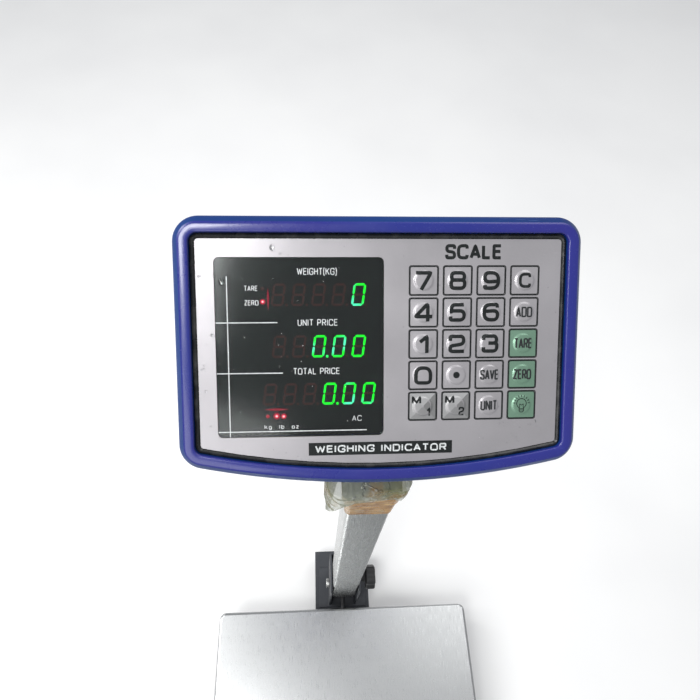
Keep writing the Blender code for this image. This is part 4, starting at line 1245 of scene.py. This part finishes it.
def feet():
    """Levelling feet: a ribbed rubber pad on a threaded stud with a hexagon lock nut."""
    pad = [(0, 0), (17.5, 0), (19.2, 0.8), (19.8, 2.4), (19.6, 4.2), (19.0, 4.6), (19.4, 5.2), (19.0, 8.0)]
    pad += [(18.2, 9.6), (15.5, 11.2), (12, 12.1), (6.2, 12.8), (5.2, 13.4), (0, 13.4)]
    pitch, crest, root = 1.25, 4.95, 4.5
    for name in [n for n in NODES if n.startswith("foot_")]:
        low, high = world_box(name)
        x, y = (low.x + high.x) / 2, (low.y + high.y) / 2
        rubber = moved(turned(pad, 56), x, y)
        piece(f"{name}_pad", rubber, "rubber", name, WORLD, replaces=[name])
        thread = [(0, 13), (root, 13)]
        for i in range(int((high.z - 14.5) / pitch)):
            z = 13.2 + pitch * i
            thread += [(root, z), (crest, z + 0.45), (crest, z + 0.65), (root, z + 1.1)]
        thread += [(4.2, high.z), (0, high.z)]
        nut = plate(arc(0, 0, 8.2, 0, 360, 6)[:-1], 18, 23)
        stud = moved(joined([turned(thread, 32), nut]), x, y)
        softened(piece(f"{name}_stud", stud, "zinc", name, WORLD), 0.25, 50)


# Stage ----


def light(name, location, target, energy, size, roll=0):
    """Soft rectangular lamp, turned about its own axis by roll degrees."""
    data = bpy.data.lights.new(name, "AREA")
    data.energy = energy
    data.shape = "RECTANGLE"
    data.size, data.size_y = size
    obj = placed(name, data)
    obj.location = location
    facing = (Vector(target) - Vector(location)).to_track_quat("-Z", "Y")
    obj.rotation_euler = (facing @ Euler((0, 0, math.radians(roll))).to_quaternion()).to_euler()


def stage_and_lights():
    mesh = bpy.data.meshes.new("floor")
    reach = 6
    corners = [(-reach, -reach, 0), (reach, -reach, 0), (reach, reach, 0), (-reach, reach, 0)]
    mesh.from_pydata(corners, [], [(0, 1, 2, 3)])
    glowing = {"emission_color": (1, 1, 1, 1), "emission_strength": 0.16}
    finish = Finish("studio_floor", (0.90, 0.90, 0.89), 0.6, **glowing)
    mesh.materials.append(finish.mottle(2, 3, 0.4, 0.7, (0.84, 0.84, 0.835)).material)
    floor = placed("floor", mesh)
    floor.location.z = -0.0005

    world = bpy.data.worlds.new("studio")
    world.use_nodes = True
    background = world.node_tree.nodes["Background"].inputs
    background["Color"].default_value = (0.94, 0.96, 1.0, 1)
    background["Strength"].default_value = 0.42
    bpy.context.scene.world = world

    def beside_head(u, v, w):
        return PANEL @ Vector((u, v, w))

    light("key", beside_head(-560, 300, 1500), beside_head(-60, 40, 0), 9, (0.44, 0.42))
    light("left_fill", beside_head(-560, 90, 1420), beside_head(-60, 20, 0), 1.6, (0.45, 0.45), 24)
    light("upper_left", beside_head(-1300, 1000, 900), beside_head(0, 0, 0), 26, (0.9, 0.9))
    light("overhead", (0.9, 0.9, 2.6), (0, 0, 0.2), 12, (1.4, 1.4))
    light("floor_fill", (-0.9, -1.7, 1.8), (0, -0.1, 0.1), 12, (1.2, 1.2))


def camera():
    """Camera just left of and above the panel's middle, close to square on."""
    place = Vector((-42.5, 32.4, 347.7))
    turn = Euler([math.radians(a) for a in (5.96, -3.65, -0.59)], "XYZ").to_matrix()
    right, up, out = (PANEL.col[i].to_3d().normalized() for i in range(3))
    facing = Matrix((right, -up, -out)).transposed() @ turn.transposed() @ Matrix.Diagonal((1, -1, -1))
    data = bpy.data.cameras.new("camera")
    data.sensor_width = 36
    data.lens = 28.23
    data.clip_start = 0.01
    obj = placed("camera", data)
    obj.matrix_world = Matrix.Translation(PANEL @ place) @ facing.to_4x4()
    bpy.context.scene.camera = obj


camera()
for finish, bevels in REFINISHED.items():
    for node, bevel in bevels.items():
        refinish(node, finish, bevel, BEVEL_ANGLES.get(node, 30))
head_shells()
rear_screws()
rating_plate()
keypad()
display()
panel_print()
drops()
tape_and_film()
feet()
stage_and_lights()
bpy.context.scene.view_settings.view_transform = "Standard"
